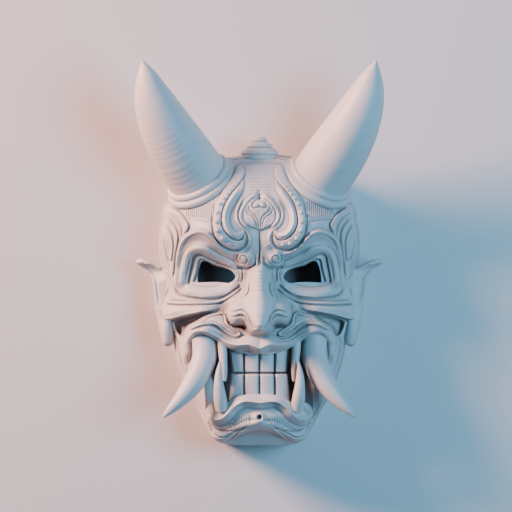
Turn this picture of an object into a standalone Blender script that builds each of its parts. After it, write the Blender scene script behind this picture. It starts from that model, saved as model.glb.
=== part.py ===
"""Oni mask: a hollow horned demon face that lies on its back, with two seated horns and two seated tusks.

The face looks along +Z. +Y runs up towards the horn tips and +X to the viewer's right. Z = 0 is the flat rim
at the back. Sizes are in millimetres and become metres when a mesh is made. One half is described, with u for
the distance outwards from the middle line and v for the height up the face, and is mirrored at u = 0.
"""

from collections import namedtuple
from math import ceil, cos, pi, radians, sin

import bmesh
import bpy
import numpy as np
from mathutils import Vector
from mathutils.geometry import delaunay_2d_cdt

MM = 0.001

# Driving sizes of the whole mask
SEAT_GAP = 0.3
WALL = 5.0
RIM_STAND = 24.0
CHIN_STAND = 44.0
ROUNDING = 42.0
SIDE_FALL = 9.0
FACE_HALF_WIDTH = 75.0
CUTTER_TOP = 150.0

# How far the hollow stays below the plain face and above its edge, and the least wall behind the carving
HOLLOW_SINK = WALL + 3.0
HOLLOW_EDGE_DROP = WALL + 1.0
LEAST_WALL = 4.0
WALL_PROBE = 3.5

# How finely the skins are cut into triangles
SKIN_PITCH = 6.8
INNER_PITCH = 14.0
LINE_STEP = 5.0
BROAD_ROLL = 3.0
EDGE_CLEARANCE = 0.45
GUIDE_CLEARANCE = 0.4
MERGE_NEAR = 0.35
MIDDLE_SNAP = 0.6
ON_MIDDLE = 0.01

# Horn seat: where the horn leaves the head, which way it leans, and its girth there
HORN_SEAT = (49.3, 61.8, 42.0)
HORN_OUTWARD = 57.5
HORN_FORWARD = 29.0
HORN_RADIUS = 24.2
HORN_SEAT_DEPTH = 5.0

# Height of the plain face above the rim along the middle line, by v
MIDDLE_HEIGHT = ((-150, 50), (-135, 63), (-120, 66), (-100, 64), (-80, 64), (-60, 62), (-40, 60), (-20, 62),
                 (0, 67), (20, 71), (40, 70), (60, 66), (80, 62))

HEAD_OUTLINE = ((0, 78), (10, 77.7), (25, 75.8), (37, 74), (48, 70), (58, 62), (65, 52), (69.5, 42),
                (75, 35.5), (75.7, 27), (77.8, 18), (78.3, 7), (77.8, -3), (76.4, -11), (76, -24), (77.5, -35),
                (79, -43), (77.5, -49), (73, -56), (69.5, -63), (67.3, -72), (66, -80), (63.8, -88), (60, -99.5),
                (54, -113.7), (49, -121), (44, -130), (39.5, -138), (36, -144), (31, -147.3), (24, -148.6),
                (15, -150), (0, -150))

# Each opening is a ring of smooth strokes that meet in corners
EYE_STROKES = (((48.7, -22.7), (48, -15), (46.6, -9.5), (45, -5.9)),
               ((45, -5.9), (41.9, -5.9), (35.4, -9.2), (27.2, -11.2), (21, -13.9), (18.7, -18),
                (20.6, -21.3), (23.9, -23.1)),
               ((23.9, -23.1), (33, -22.2), (41, -22.3), (48.7, -22.7)))
MOUTH_STROKES = (((0, -78), (8, -78), (15.8, -76.9), (21.7, -74.5), (28, -71), (34, -67.3), (40, -64),
                  (45, -62.2), (50, -63), (52.5, -67), (51.5, -75), (47, -88), (43.5, -100), (42.5, -111),
                  (42.3, -122.5)),
                 ((42.3, -122.5), (39.5, -118.7), (36, -116)),
                 ((36, -116), (34, -119), (31, -119.2), (24, -115), (17, -111), (10, -109.6), (0, -109.3)))

Relief = namedtuple("Relief", "rise guides")


def smooth_line(points, step):
    """A curve through hand-set points, with a point about every step millimetres."""
    points = np.array(points, float)
    along = np.concatenate([[0], np.cumsum(np.linalg.norm(np.diff(points, axis=0), axis=1))])
    if len(points) > 2:
        slope = np.gradient(points, along, axis=0)
    else:
        slope = np.diff(points, axis=0)[[0, 0]] / along[-1]
    at = np.linspace(0, along[-1], max(2, ceil(along[-1] / step) + 1))
    leg = np.clip(np.searchsorted(along, at, side="right") - 1, 0, len(along) - 2)
    length = (along[leg + 1] - along[leg])[:, None]
    t = (at - along[leg])[:, None] / length
    return ((2 * t**3 - 3 * t**2 + 1) * points[leg] + (t**3 - 2 * t**2 + t) * length * slope[leg]
            + (3 * t**2 - 2 * t**3) * points[leg + 1] + (t**3 - t**2) * length * slope[leg + 1])


def joined(strokes, step):
    """The strokes of an outline as one run of points, each shared corner once."""
    lines = [smooth_line(stroke, step) for stroke in strokes]
    return np.concatenate([lines[0]] + [line[1:] for line in lines[1:]])


def distance_to(line, at):
    """Distance of points from a line, positive on its left side, and their place along it from 0 to 1."""
    start, leg = line[:-1], np.diff(line, axis=0)
    length = np.hypot(*leg.T)
    off = at[:, None] - start
    part = np.clip((off * leg).sum(-1) / length**2, 0, 1)
    gap = np.hypot(*np.moveaxis(off - part[..., None] * leg, -1, 0))
    near = gap.argmin(1)
    rows = np.arange(len(at))
    side = leg[near, 0] * off[rows, near, 1] - leg[near, 1] * off[rows, near, 0]
    done = np.concatenate([[0], np.cumsum(length)])
    along = (done[near] + part[rows, near] * length[near]) / done[-1]
    return np.where(side < 0, -1, 1) * gap[rows, near], along


def inside(ring, at):
    """Whether each point lies inside a closed ring."""
    a, b = ring, np.roll(ring, -1, axis=0)
    crosses = (a[:, 1] > at[:, None, 1]) != (b[:, 1] > at[:, None, 1])
    rise = np.where(b[:, 1] == a[:, 1], 1, b[:, 1] - a[:, 1])
    across = a[:, 0] + (at[:, None, 1] - a[:, 1]) * (b[:, 0] - a[:, 0]) / rise
    return (crosses & (at[:, None, 0] < across)).sum(1) % 2 == 1


def smooth_step(t):
    t = np.clip(t, 0, 1)
    return t * t * (3 - 2 * t)


def ease_ends(along, ends):
    """1 along a line, easing to 0 over the given share of it at its start and at its end."""
    start = smooth_step(along / ends[0]) if ends[0] else 1
    finish = smooth_step((1 - along) / ends[1]) if ends[1] else 1
    return start * finish


def beside(line, offset):
    """The line moved sideways, to its left when the offset is positive."""
    slope = np.gradient(line, axis=0)
    return line + offset * np.stack([-slope[:, 1], slope[:, 0]], 1) / np.hypot(*slope.T)[:, None]


def ledge(points, up, down, reach_up, reach_down, face=1.0, ends=(0.15, 0.15)):
    """A step along a line: the left side stands up and fades over its reach, and the right side drops."""
    line = smooth_line(points, LINE_STEP)

    def rise(at):
        gap, along = distance_to(line, at)
        high = up * np.clip(1 - gap / reach_up, 0, 1) ** 2
        low = -down * np.clip(1 + (gap + face) / reach_down, 0, 1) ** 2
        across = np.clip(1 + gap / face, 0, 1)
        return ease_ends(along, ends) * np.where(gap > 0, high, across * up + (1 - across) * low)

    return Relief(rise, [line, beside(line, -face)])


def roll(points, height, half_width, ends=(0.15, 0.15)):
    """A rounded bead along a line, or a rounded channel where the height is negative."""
    line = smooth_line(points, LINE_STEP)

    def rise(at):
        gap, along = distance_to(line, at)
        return ease_ends(along, ends) * height * np.clip(1 - (gap / half_width) ** 2, 0, 1)

    edges = [beside(line, half_width), beside(line, -half_width)] if half_width > BROAD_ROLL else []
    return Relief(rise, [line] + edges)


def plate(strokes, height, edge):
    """A raised flat inside a closed outline, with a sloping edge of the given width."""
    ring = joined(strokes, LINE_STEP)

    def rise(at):
        gap = np.abs(distance_to(ring, at)[0])
        return height * np.where(inside(ring, at), np.clip(gap / edge, 0, 1), 0)

    turn = 1 if np.cross(ring, np.roll(ring, -1, axis=0)).sum() > 0 else -1
    return Relief(rise, [ring, beside(ring, turn * edge)])


def mound(centre, radii, height):
    """A soft swelling, or a hollow where the height is negative."""

    def rise(at):
        reach = (((at - centre) / radii) ** 2).sum(1)
        return height * np.clip(1 - reach, 0, 1) ** 2

    return Relief(rise, [])


def nose_ridge(at, shrink=0.0):
    """How far the ridge of the nose stands out, from its width and height down the middle line."""
    v, width, height = np.array(NOSE_RIDGE[::-1], float).T
    half = np.interp(at[:, 1], v, width) - shrink / 2
    rise = np.interp(at[:, 1], v, height) - shrink
    return np.maximum(rise, 0) * np.maximum(1 - (at[:, 0] / half) ** 2, 0) ** NOSE_CROWNING


def nose_wing(at, shrink=0.0):
    """The top of the ball at the side of the nose; round it the height runs down steeply."""
    centre, radii, base, rise = NOSE_WING
    reach = (((at - centre) / (np.array(radii) - shrink)) ** 2).sum(1)
    return base + (rise - shrink) * np.where(reach < 1, np.sqrt(np.maximum(1 - reach, 0)), 1 - reach)


def blend_over(low, high, soft):
    """The higher of two heights, with a fillet of about the given size where they meet."""
    near = np.clip(1 - np.abs(low - high) / soft, 0, 1)
    return np.maximum(low, high) + soft / 4 * near**2


def side_heights(v):
    """How high the outline edge stands above the rim: more at the chin, which turns back under itself."""
    return RIM_STAND + (CHIN_STAND - RIM_STAND) * smooth_step((-v - 105) / 40)


def plain_face(at, outline, sink, stand_drop):
    """The domed face with no features, rounded off towards its outline."""
    knots = np.array(MIDDLE_HEIGHT, float)
    top = np.interp(at[:, 1], *knots.T) - SIDE_FALL * (at[:, 0] / FACE_HALF_WIDTH) ** 2 - sink
    edge = side_heights(at[:, 1]) - stand_drop
    near = np.clip(np.abs(distance_to(outline, at)[0]) / ROUNDING, 0, 1)
    return edge + (top - edge) * np.sqrt(1 - (1 - near) ** 2)


# Forms of the face, from the crown down. The left of a line drawn outwards is its upper side.
BROW_AND_EYE = [
    mound((34, 15), (38, 24), 8),
    mound((37, -15), (36, 23), -7),
    ledge(((10, 19), (6.5, 12.5), (8.5, 6), (14, 1.2), (22, 1), (30, 5.5), (36, 12), (43, 16.5), (51, 16.3),
           (59, 11), (60.5, 8)), 1.2, 1.6, 5, 9),
    ledge(((16, -9), (24, -5.5), (32, -1), (40, 3.5), (46, 6.5), (52, 6.1), (57, 3.5), (60, -3), (61.5, -14),
           (63, -25)), 2.6, 1.6, 8, 6, ends=(0.1, 0.25)),
    ledge(((14.5, -12), (22, -9), (30, -6.3), (38, -3.2), (45, 0), (50, 0.2), (53.5, -3), (55.5, -13),
           (57, -25)), 1.0, 2.2, 4, 5, ends=(0.05, 0.12)),
    ledge(((18.5, -13), (25, -10.3), (36, -7.3), (43, -4), (47.5, -3.3), (49.5, -9), (50.5, -14),
           (52.7, -23)), 0.8, 2.4, 3, 5, ends=(0.05, 0.1)),
    roll(((60, -26), (50, -28.6), (40, -29.2), (30, -27.2), (22, -23.6), (17, -19), (15.5, -15)), 2.4, 4.5),
    roll(((65.5, -25), (63, -30), (57, -32.8), (48, -34.3), (38, -34), (28, -32.5), (21, -29), (15, -24.5)),
         -2.6, 2.2),
]
CROWN = [
    mound((53, 62), (38, 38), -11),
    plate([((14, 66), (18, 63), (24, 54), (31, 45), (35, 36), (36, 26), (34.5, 15), (30, 8), (24, 4),
            (17, 3.7), (12, 7), (10.7, 12), (11, 15)),
           ((11, 15), (15, 11), (21, 11), (26.5, 15.5), (29.2, 23), (28.5, 33), (25, 42), (19, 50), (14, 58),
            (14, 66))], 2.6, 1.0),
    plate([((12.8, 57), (12.6, 52), (15, 44.3), (21, 35), (23.2, 27), (21, 20), (17, 16.6), (11.5, 17),
            (12.5, 13)),
           ((12.5, 13), (18, 10.6), (24, 13), (28.3, 19), (29, 28), (27, 38), (22, 46.5), (15, 55),
            (12.8, 57))], 2.2, 1.2),
    roll(((9.5, 43), (14, 39), (17, 34), (16.6, 27), (12.5, 20.5), (8.5, 17), (7, 11), (10, 4)), 1.4, 3.2),
    plate([((-8, 41), (0, 42.7), (5.5, 41.8), (10.5, 36.5), (12.4, 30), (10.5, 24), (6, 20.2), (0, 18.4),
            (-8, 21)), ((-8, 21), (-8, 41))], 2.4, 2.2),
    roll(((0, 17), (0, 4), (0, -5)), -3.0, 3.5),
    mound((11.5, -4), (8.5, 8.5), 7),
    ledge(((68, 36), (62, 31), (57, 24.5), (56.8, 19.5), (61, 13)), 2.4, 0.6, 9, 4),
    roll(((75, 27), (69, 22), (66, 14), (65.2, 0), (67.5, -20)), -1.6, 2.4),
]
CHEEK = [
    roll(((71, -38), (60, -37.2), (45, -36.4), (31, -36), (23, -31.6), (14, -25.4)), 1.6, 2.6),
    ledge(((29, -40.2), (32, -41.5), (40, -43.8), (50, -45.7), (60, -47.8), (68, -50.2), (77, -51)),
          8, 7, 14, 17, face=1.6, ends=(0.12, 0.06)),
    mound((62, -57), (15, 13), -7),
]
MOUTH = [
    plate([((28.8, -45.2), (25.8, -48.5), (24, -54.5), (20, -57.5), (14.3, -61.2)),
           ((14.3, -61.2), (15.5, -64), (20, -64.7), (26, -61.7), (34, -55.7), (39, -54.8), (47, -56.2),
            (54, -59.3)),
           ((54, -59.3), (48, -53.2), (40, -47.7), (28.8, -45.2))], 3.0, 1.0),
    mound((0, -69), (30, 20), 9),
    mound((46, -60), (20, 12), 9),
    roll(((0, -73.4), (8, -70.6), (18, -70.7), (26, -68.7), (33, -64.7), (38, -62), (44.6, -60), (50, -60.8),
          (55, -65), (57, -70), (56.5, -78), (54.5, -87)), 7, 7, ends=(0, 0.2)),
    ledge(((0, -116), (5, -114.8), (13, -115), (21, -120), (27, -126.4), (33, -129.3), (40.5, -126.5)), 11, 2,
          17, 9, face=4.5, ends=(0, 0.12)),
]
CHIN = [
    mound((0, -127.5), (7, 7), 2.2),
    mound((0, -127), (2.6, 2.6), -6),
    roll(((37, -139.5), (30, -141.2), (24, -140.2), (16, -137.4), (8, -134.6), (0, -133.6)), 5, 6,
         ends=(0.2, 0)),
    roll(((39.8, -128), (38.6, -134), (36.5, -141)), -4, 1.8, ends=(0.1, 0.1)),
    roll(((65, -66), (62.3, -80), (58, -96)), -1.6, 2.2),
]
NOSE_RIDGE = ((-4, 7, 0), (-14, 9, 11), (-25, 12, 20), (-35, 15, 29), (-45, 18, 36), (-51, 19, 38),
              (-57, 16, 34), (-63, 10, 20), (-69, 6, 4), (-73, 5, 0))
NOSE_WING = ((16, -46.5), (11, 10.5), 60, 24)
NOSE_CROWNING = 1.4
NOSE_BLEND = 9.0
NOSE_GUIDES = (((0, -9), (6, -18), (10, -30), (12, -40), (8, -50), (5, -58), (0, -63)),
               ((14, -24), (19, -35), (26, -41), (27.5, -48), (23, -54.5), (15, -58.5), (8, -62), (0, -68.5)),
               ((9, -47), (13, -53), (19, -53), (22, -47), (19, -40), (13, -40), (9, -47)))
NOSTRIL = roll(((20.5, -56), (14, -56.2), (9, -59.6)), -7, 2.6)
RELIEFS = BROW_AND_EYE + CROWN + CHEEK + MOUTH + CHIN


def skin_height(at, outline):
    """Height of the carved front of the mask."""
    height = plain_face(at, outline, 0, 0)
    for relief in RELIEFS:
        height = height + relief.rise(at)
    return blend_over(height + nose_ridge(at), nose_wing(at), NOSE_BLEND) + NOSTRIL.rise(at)


def hollow_height(at, inner_outline, outline):
    """Height of the smooth hollow behind the face, never nearer than a thin wall to the carving."""
    height = plain_face(at, inner_outline, HOLLOW_SINK, HOLLOW_EDGE_DROP) + nose_ridge(at, shrink=WALL)
    height = blend_over(height, nose_wing(at, shrink=WALL), NOSE_BLEND)
    for angle in np.arange(8) * pi / 4:
        around = at + WALL_PROBE * np.array([cos(angle), sin(angle)])
        height = np.minimum(height, skin_height(around, outline) - LEAST_WALL)
    return height


def spread_points(ring, pitch):
    """A triangular lattice of points inside a ring, away from its edge."""
    low, high = ring.min(0), ring.max(0)
    rows = np.arange(low[1], high[1], pitch * sin(pi / 3))
    columns = np.arange(low[0], high[0] + pitch, pitch)
    points = np.array([(u + (row % 2) * pitch / 2, v) for row, v in enumerate(rows) for u in columns])
    points = points[inside(ring, points)]
    return points[np.abs(distance_to(np.concatenate([ring, ring[:1]]), points)[0]) > pitch * EDGE_CLEARANCE]


def triangulate(ring, guides, pitch):
    """Triangles that fill a ring and follow the guide lines, as flat points and triples."""
    lattice = spread_points(ring, pitch)
    for line in guides:
        lattice = lattice[np.abs(distance_to(line, lattice)[0]) > pitch * GUIDE_CLEARANCE]
    points, edges = [Vector(point) for point in ring], [(i, (i + 1) % len(ring)) for i in range(len(ring))]
    for line in guides:
        edges += [(len(points) + i, len(points) + i + 1) for i in range(len(line) - 1)]
        points += [Vector(point) for point in line]
    points += [Vector(point) for point in lattice]
    flat, _, faces, *_ = delaunay_2d_cdt(points, edges, [], 0, MERGE_NEAR)
    flat = np.array([tuple(point) for point in flat])
    faces = np.array([tuple(face) for face in faces])
    faces = faces[inside(ring, flat[faces].mean(1))]
    used, faces = np.unique(faces, return_inverse=True)
    return flat[used], faces.reshape(-1, 3)


def mirrored(flat, faces):
    """A half and its mirror image, sharing the points on the middle line."""
    middle = np.abs(flat[:, 0]) < ON_MIDDLE
    flat = np.where(middle[:, None], flat * (0, 1), flat)
    twin = np.where(middle, np.arange(len(flat)), len(flat) + np.cumsum(~middle) - 1)
    return np.concatenate([flat, flat[~middle] * (-1, 1)]), np.concatenate([faces, twin[faces][:, ::-1]])


def border_of(faces):
    """The points round the edge of flat triangles, in order, with the triangles on their left."""
    edges = np.concatenate([faces[:, [0, 1]], faces[:, [1, 2]], faces[:, [2, 0]]])
    known = {tuple(edge) for edge in edges}
    following = {a: b for a, b in known if (b, a) not in known}
    loop = [min(following)]
    while following[loop[-1]] != loop[0]:
        loop.append(following[loop[-1]])
    return loop


def block(name, flat, faces, top, floor):
    """A closed solid from a floor up to a top height over flat triangles, with one face for its floor."""
    loop = border_of(faces)
    low = [len(flat) + i for i in range(len(loop))]
    walls = [(loop[i], loop[i - 1], low[i - 1], low[i]) for i in range(len(loop))]
    corners = np.concatenate([np.column_stack([flat, top]),
                              np.column_stack([flat[loop], np.full(len(loop), floor)])])
    return mesh_object(name, corners, [*faces, *walls, low[::-1]])


def slab(name, flat, faces, front, back):
    """A closed solid between a front and a back height over the same flat triangles."""
    loop = border_of(faces)
    under = len(flat)
    walls = [(loop[i], loop[i - 1], loop[i - 1] + under, loop[i] + under) for i in range(len(loop))]
    corners = np.concatenate([np.column_stack([flat, front]), np.column_stack([flat, back])])
    return mesh_object(name, corners, [*faces, *walls, *(faces[:, ::-1] + under)])


def mesh_object(name, corners, faces):
    """An object in the scene from corner points in millimetres."""
    mesh = bpy.data.meshes.new(name)
    spots = (np.asarray(corners, float) * MM).tolist()
    mesh.from_pydata(spots, [], [[int(i) for i in face] for face in faces])
    made = bpy.data.objects.new(name, mesh)
    bpy.context.scene.collection.objects.link(made)
    return made


def frame_along(path):
    """The direction of a path at each point, and two square directions that don't twist along it."""
    path = np.array(path, float)
    ahead = np.gradient(path, axis=0)
    ahead /= np.linalg.norm(ahead, axis=1)[:, None]
    side = np.cross(ahead, (0, 0, 1.0))
    side /= np.linalg.norm(side, axis=1)[:, None]
    return ahead, side, np.cross(side, ahead)


def swept(name, path, radii, sides):
    """A round solid along a path, with a flat first end and a last ring that closes in a small cap."""
    _, side, lift = frame_along(path)
    turns = np.arange(sides) * 2 * pi / sides
    rings = [point + radius * (np.outer(np.cos(turns), a) + np.outer(np.sin(turns), b))
             for point, radius, a, b in zip(np.array(path, float), radii, side, lift)]
    ring = [(i, (i + 1) % sides, sides + (i + 1) % sides, sides + i) for i in range(sides)]
    faces = [[corner + r * sides for corner in quad] for r in range(len(rings) - 1) for quad in ring]
    faces += [tuple(range(sides))[::-1], tuple(range((len(rings) - 1) * sides, len(rings) * sides))]
    made = mesh_object(name, np.concatenate(rings), faces)
    face_outwards(made)
    return made


def face_outwards(made):
    """Turns all faces of a closed mesh to point out."""
    shell = bmesh.new()
    shell.from_mesh(made.data)
    bmesh.ops.recalc_face_normals(shell, faces=shell.faces)
    shell.to_mesh(made.data)
    shell.free()


def turned(name, profile, centre, axis, sides):
    """A solid turned round an axis from (radius, height) points that start and end on the axis."""
    aim = Vector(axis).to_track_quat("Z", "Y").to_matrix()
    shell = bmesh.new()
    rings = []
    for radius, height in profile:
        angles = [0.0] if radius == 0 else [2 * pi * i / sides for i in range(sides)]
        spots = [aim @ Vector((radius * cos(a), radius * sin(a), height)) + Vector(centre) for a in angles]
        rings.append([shell.verts.new(spot * MM) for spot in spots])
    for low, high in zip(rings, rings[1:]):
        for i in range(sides):
            j = i + 1
            corners = (low[i % len(low)], low[j % len(low)], high[j % len(high)], high[i % len(high)])
            shell.faces.new(list(dict.fromkeys(corners)))
    bmesh.ops.recalc_face_normals(shell, faces=shell.faces)
    made = mesh_object(name, [], [])
    shell.to_mesh(made.data)
    shell.free()
    return made


# Ears, a little thinner at their edges than in the middle
EAR_STROKES = (((71, -14), (77, -10.5), (85, -6.2), (92, -4.1), (98, -5.2)),
               ((98, -5.2), (95.5, -9), (90, -12.7), (86.3, -17), (84.3, -23), (83.5, -32), (81.8, -45),
                (79.5, -56), (77.3, -66), (75, -71.6), (71.5, -72.9)),
               ((71.5, -72.9), (68.5, -69), (69, -60), (71, -45), (71, -14)))
EAR_ROOT_HEIGHT = 34.0
EAR_SLOPE = 0.3
EAR_THICKNESS = 8.0
EAR_EDGE = 4.0
EAR_EDGE_THINNING = 3.0

# Teeth: the corners of each front face, and how far the row stands and reaches back
UPPER_TEETH = (((0.35, -72), (11.3, -72), (10.9, -93), (0.35, -93)),
               ((12.1, -69), (24, -69), (20.8, -93), (12.4, -93)))
LOWER_TEETH = (((0.4, -113), (11.3, -113), (11.2, -94.2), (0.4, -94.2)),
               ((12.4, -115), (23.9, -115), (21.4, -94), (12.2, -94)))
TOOTH_FRONT = 72.0
TOOTH_DEPTH = 10.0
TOOTH_ROW_CURVE = 0.008
TOOTH_BEVEL = 0.9

# Round teeth as (u, v, height, radius) along their middle
UPPER_FANG = ((29.2, -66, 63, 3.4), (28.6, -76, 64, 3.3), (27.8, -86, 65, 2.9), (27.2, -93, 65, 2.3),
              (27, -98.5, 65, 1.5))
LOWER_FANG = ((29.4, -121, 65, 5), (30.6, -112, 69, 5), (31.4, -104, 71, 4.1), (31.7, -97, 71.5, 3.2),
              (31.2, -90, 71.5, 2.1), (30.4, -83.5, 71, 0.6))
TUSK = ((43.4, -57.5, 54, 9.2), (43, -68, 55, 9.7), (42.7, -79, 58, 9.5), (45.3, -89, 61.5, 9.3),
        (50, -98.5, 64.5, 8.6), (56.3, -107.5, 66.5, 7.2), (63.5, -115.8, 68, 5.2), (69.7, -122, 68.5, 3.3),
        (74.4, -127, 68.5, 0.9))
HORN = ((49.3, 61.8, 42, 24.2), (61.5, 79.6, 53.1, 23.3), (74.1, 101.3, 64, 20.1), (83.6, 124, 72.3, 14),
        (87.7, 139, 76.5, 7.6), (90.6, 149.8, 78.8, 1.0))
SIDES = (("left", -1), ("right", 1))
HORN_SIDES = 22
HORN_STEP = 11.0
TUSK_SIDES = 12
TUSK_STEP = 8.0
FANG_SIDES = 8
FANG_STEP = 7.0

# The collar under each horn, as (radius, height) from its foot up. A bead is an arc: radius and height of its
# middle, its own radius, and the angles where it starts and ends
COLLAR_FOOT = ((0, -15), (24, -15), (25.2, -11.2))
COLLAR_BEADS = ((26.6, -8.0, 3.0, -70, 75), (24.0, -2.8, 3.0, -20, 110))
COLLAR_BEAD_POINTS = 5
COLLAR_SIDES = 22

# The stacked knob on the crown, as (radius, height above its foot)
KNOB_FOOT = (0, 74, 26)
KNOB_PROFILE = ((0, 0), (13.2, 0), (13.6, 3.6), (14.8, 6), (13.2, 9.1), (9.4, 9.4), (10.1, 11), (8.6, 13.7),
                (5.2, 14.1), (5.8, 16), (4.2, 18.2), (0, 19))
KNOB_SIDES = 18

# Grey of the resin, and the angle between faces past which an edge is shaded sharp
FACE_SHADE = 0.62
HORN_SHADE = 0.66
RESIN_ROUGHNESS = 0.5
SHARP_ANGLE = 35


def horn_axis():
    out, lean = radians(HORN_OUTWARD), radians(HORN_FORWARD)
    return np.array([cos(lean) * cos(out), cos(lean) * sin(out), sin(lean)])


def half_ring(outline, pitch):
    """The outline of one half, closed along the middle line."""
    top, bottom = outline[0, 1], outline[-1, 1]
    steps = ceil((top - bottom) / pitch)
    middle = np.column_stack([np.zeros(steps - 1), np.linspace(bottom, top, steps + 1)[1:-1]])
    return np.concatenate([outline, middle])


def kept_right(lines):
    """Guide lines kept to the right half, with ends near the middle line put on it."""
    return [np.where(line[:, :1] < MIDDLE_SNAP, line * (0, 1), line) for line in lines]


def face_block():
    """The carved front of the mask as a solid block down to the rim."""
    outline = smooth_line(HEAD_OUTLINE, LINE_STEP)
    guides = [line for relief in RELIEFS + [NOSTRIL] for line in relief.guides]
    guides = kept_right(guides + [smooth_line(points, LINE_STEP) for points in NOSE_GUIDES])
    flat, faces = triangulate(half_ring(outline, SKIN_PITCH), guides, SKIN_PITCH)
    height = skin_height(flat, outline)
    whole, all_faces = mirrored(flat, faces)
    heights = np.concatenate([height, height[np.abs(flat[:, 0]) >= ON_MIDDLE]])
    return block("mask_face", whole, all_faces, heights, 0)


def hollow_block():
    """The space behind the face, which also cuts through the rim."""
    outline = smooth_line(HEAD_OUTLINE, LINE_STEP)
    inner = beside(smooth_line(HEAD_OUTLINE, INNER_PITCH / 2), -WALL)
    inner[[0, -1], 0] = 0
    flat, faces = triangulate(half_ring(inner, INNER_PITCH), [], INNER_PITCH)
    height = hollow_height(flat, inner, outline)
    whole, all_faces = mirrored(flat, faces)
    heights = np.concatenate([height, height[np.abs(flat[:, 0]) >= ON_MIDDLE]])
    return block("hollow_cutter", whole, all_faces, heights, -WALL)


def through_cutter(name, strokes, side):
    """A prism through the whole mask over a closed outline; side is -1 for the mirrored one."""
    ring = joined(strokes, LINE_STEP)[:-1]
    flat, faces = triangulate(ring, [], ROUNDING)
    if side < 0:
        flat, faces = flat * (-1, 1), faces[:, ::-1]
    return block(name, flat, faces, np.full(len(flat), CUTTER_TOP), -2 * WALL)


def mouth_cutter():
    half = joined(MOUTH_STROKES, LINE_STEP)
    whole = np.concatenate([half, (half * (-1, 1))[::-1][1:-1]])
    flat, faces = triangulate(whole, [], ROUNDING)
    return block("mouth_cutter", flat, faces, np.full(len(flat), CUTTER_TOP), -2 * WALL)


def ear(name, side):
    ring = joined(EAR_STROKES, LINE_STEP)[:-1]
    flat, faces = triangulate(ring, [], SKIN_PITCH)
    near_edge = np.clip(np.abs(distance_to(np.concatenate([ring, ring[:1]]), flat)[0]) / EAR_EDGE, 0, 1)
    thinning = EAR_EDGE_THINNING * (1 - near_edge) ** 2
    front = EAR_ROOT_HEIGHT - EAR_SLOPE * (flat[:, 0] - FACE_HALF_WIDTH)
    back = front - EAR_THICKNESS + thinning
    front = front - thinning
    if side < 0:
        flat, faces = flat * (-1, 1), faces[:, ::-1]
    return slab(name, flat, faces, front, back)


def tooth(name, corners, side):
    """A block tooth with bevelled edges."""
    corners = np.array(corners, float)
    front = TOOTH_FRONT - TOOTH_ROW_CURVE * corners[:, 0] ** 2
    spots = [(side * u, v, z) for (u, v), z in zip(corners, front)]
    spots += [(x, y, z - TOOTH_DEPTH) for x, y, z in spots]
    made = mesh_object(name, spots, [(0, 1, 2, 3), (7, 6, 5, 4), (0, 4, 5, 1), (1, 5, 6, 2), (2, 6, 7, 3),
                                     (3, 7, 4, 0)])
    face_outwards(made)
    bevel = made.modifiers.new("rounded edges", "BEVEL")
    bevel.width = TOOTH_BEVEL * MM
    bevel.segments = 1
    return made


def round_tooth(name, middle, side, sides, step, grow=0.0):
    """A fang or tusk along its (u, v, height, radius) middle; grow widens it for the cutter of its seat."""
    line = smooth_line(middle, step)
    path = line[:, :3] * (side, 1, 1)
    if grow:
        path[0] += (path[0] - path[1]) / np.linalg.norm(path[0] - path[1]) * grow
    return swept(name, path, line[:, 3] + grow, sides)


def horn(name, side, grow=0.0):
    """A horn with a straight foot that stands in the seat of its collar, or the wider cutter of that seat."""
    foot = np.array(HORN_SEAT) - (HORN_SEAT_DEPTH - SEAT_GAP + grow) * horn_axis()
    line = smooth_line(HORN, HORN_STEP)
    line = np.concatenate([[[*foot, HORN_RADIUS]], line])
    return swept(name, line[:, :3] * (side, 1, 1), line[:, 3] + grow, HORN_SIDES)


def collar(name, side):
    """Two stacked beads round the foot of a horn."""
    profile = list(COLLAR_FOOT)
    for radius, height, bead, start, end in COLLAR_BEADS:
        angles = np.radians(np.linspace(start, end, COLLAR_BEAD_POINTS))
        profile += [(radius + bead * cos(a), height + bead * sin(a)) for a in angles]
    profile.append((0, -SEAT_GAP))
    return turned(name, profile, np.array(HORN_SEAT) * (side, 1, 1), horn_axis() * (side, 1, 1), COLLAR_SIDES)


def knob():
    return turned("knob", KNOB_PROFILE, KNOB_FOOT, (0, 1, 0), KNOB_SIDES)


def helpers(name, members):
    """Gathers helper solids in a collection of their own and keeps them out of the render."""
    group = bpy.data.collections.new(name)
    bpy.context.scene.collection.children.link(group)
    for member in members:
        bpy.context.scene.collection.objects.unlink(member)
        group.objects.link(member)
        member.hide_render = True
        member.display_type = "WIRE"
    return group


def combine(body, name, operation, members):
    cut = body.modifiers.new(name, "BOOLEAN")
    cut.operation = operation
    cut.solver = "EXACT"
    cut.operand_type = "COLLECTION"
    cut.collection = helpers(name, members)


def cast_resin(name, shade):
    """Unpainted pale grey cast resin."""
    resin = bpy.data.materials.new(name)
    resin.use_nodes = True
    shader = resin.node_tree.nodes["Principled BSDF"]
    shader.inputs["Base Color"].default_value = (*[shade] * 3, 1)
    shader.inputs["Roughness"].default_value = RESIN_ROUGHNESS
    shader.inputs["Metallic"].default_value = 0.0
    return resin


def finish(made, shade):
    made.data.materials.append(cast_resin(made.name + "_resin", shade))
    made.data.shade_smooth()
    made.data.set_sharp_from_angle(angle=radians(SHARP_ANGLE))


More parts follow.
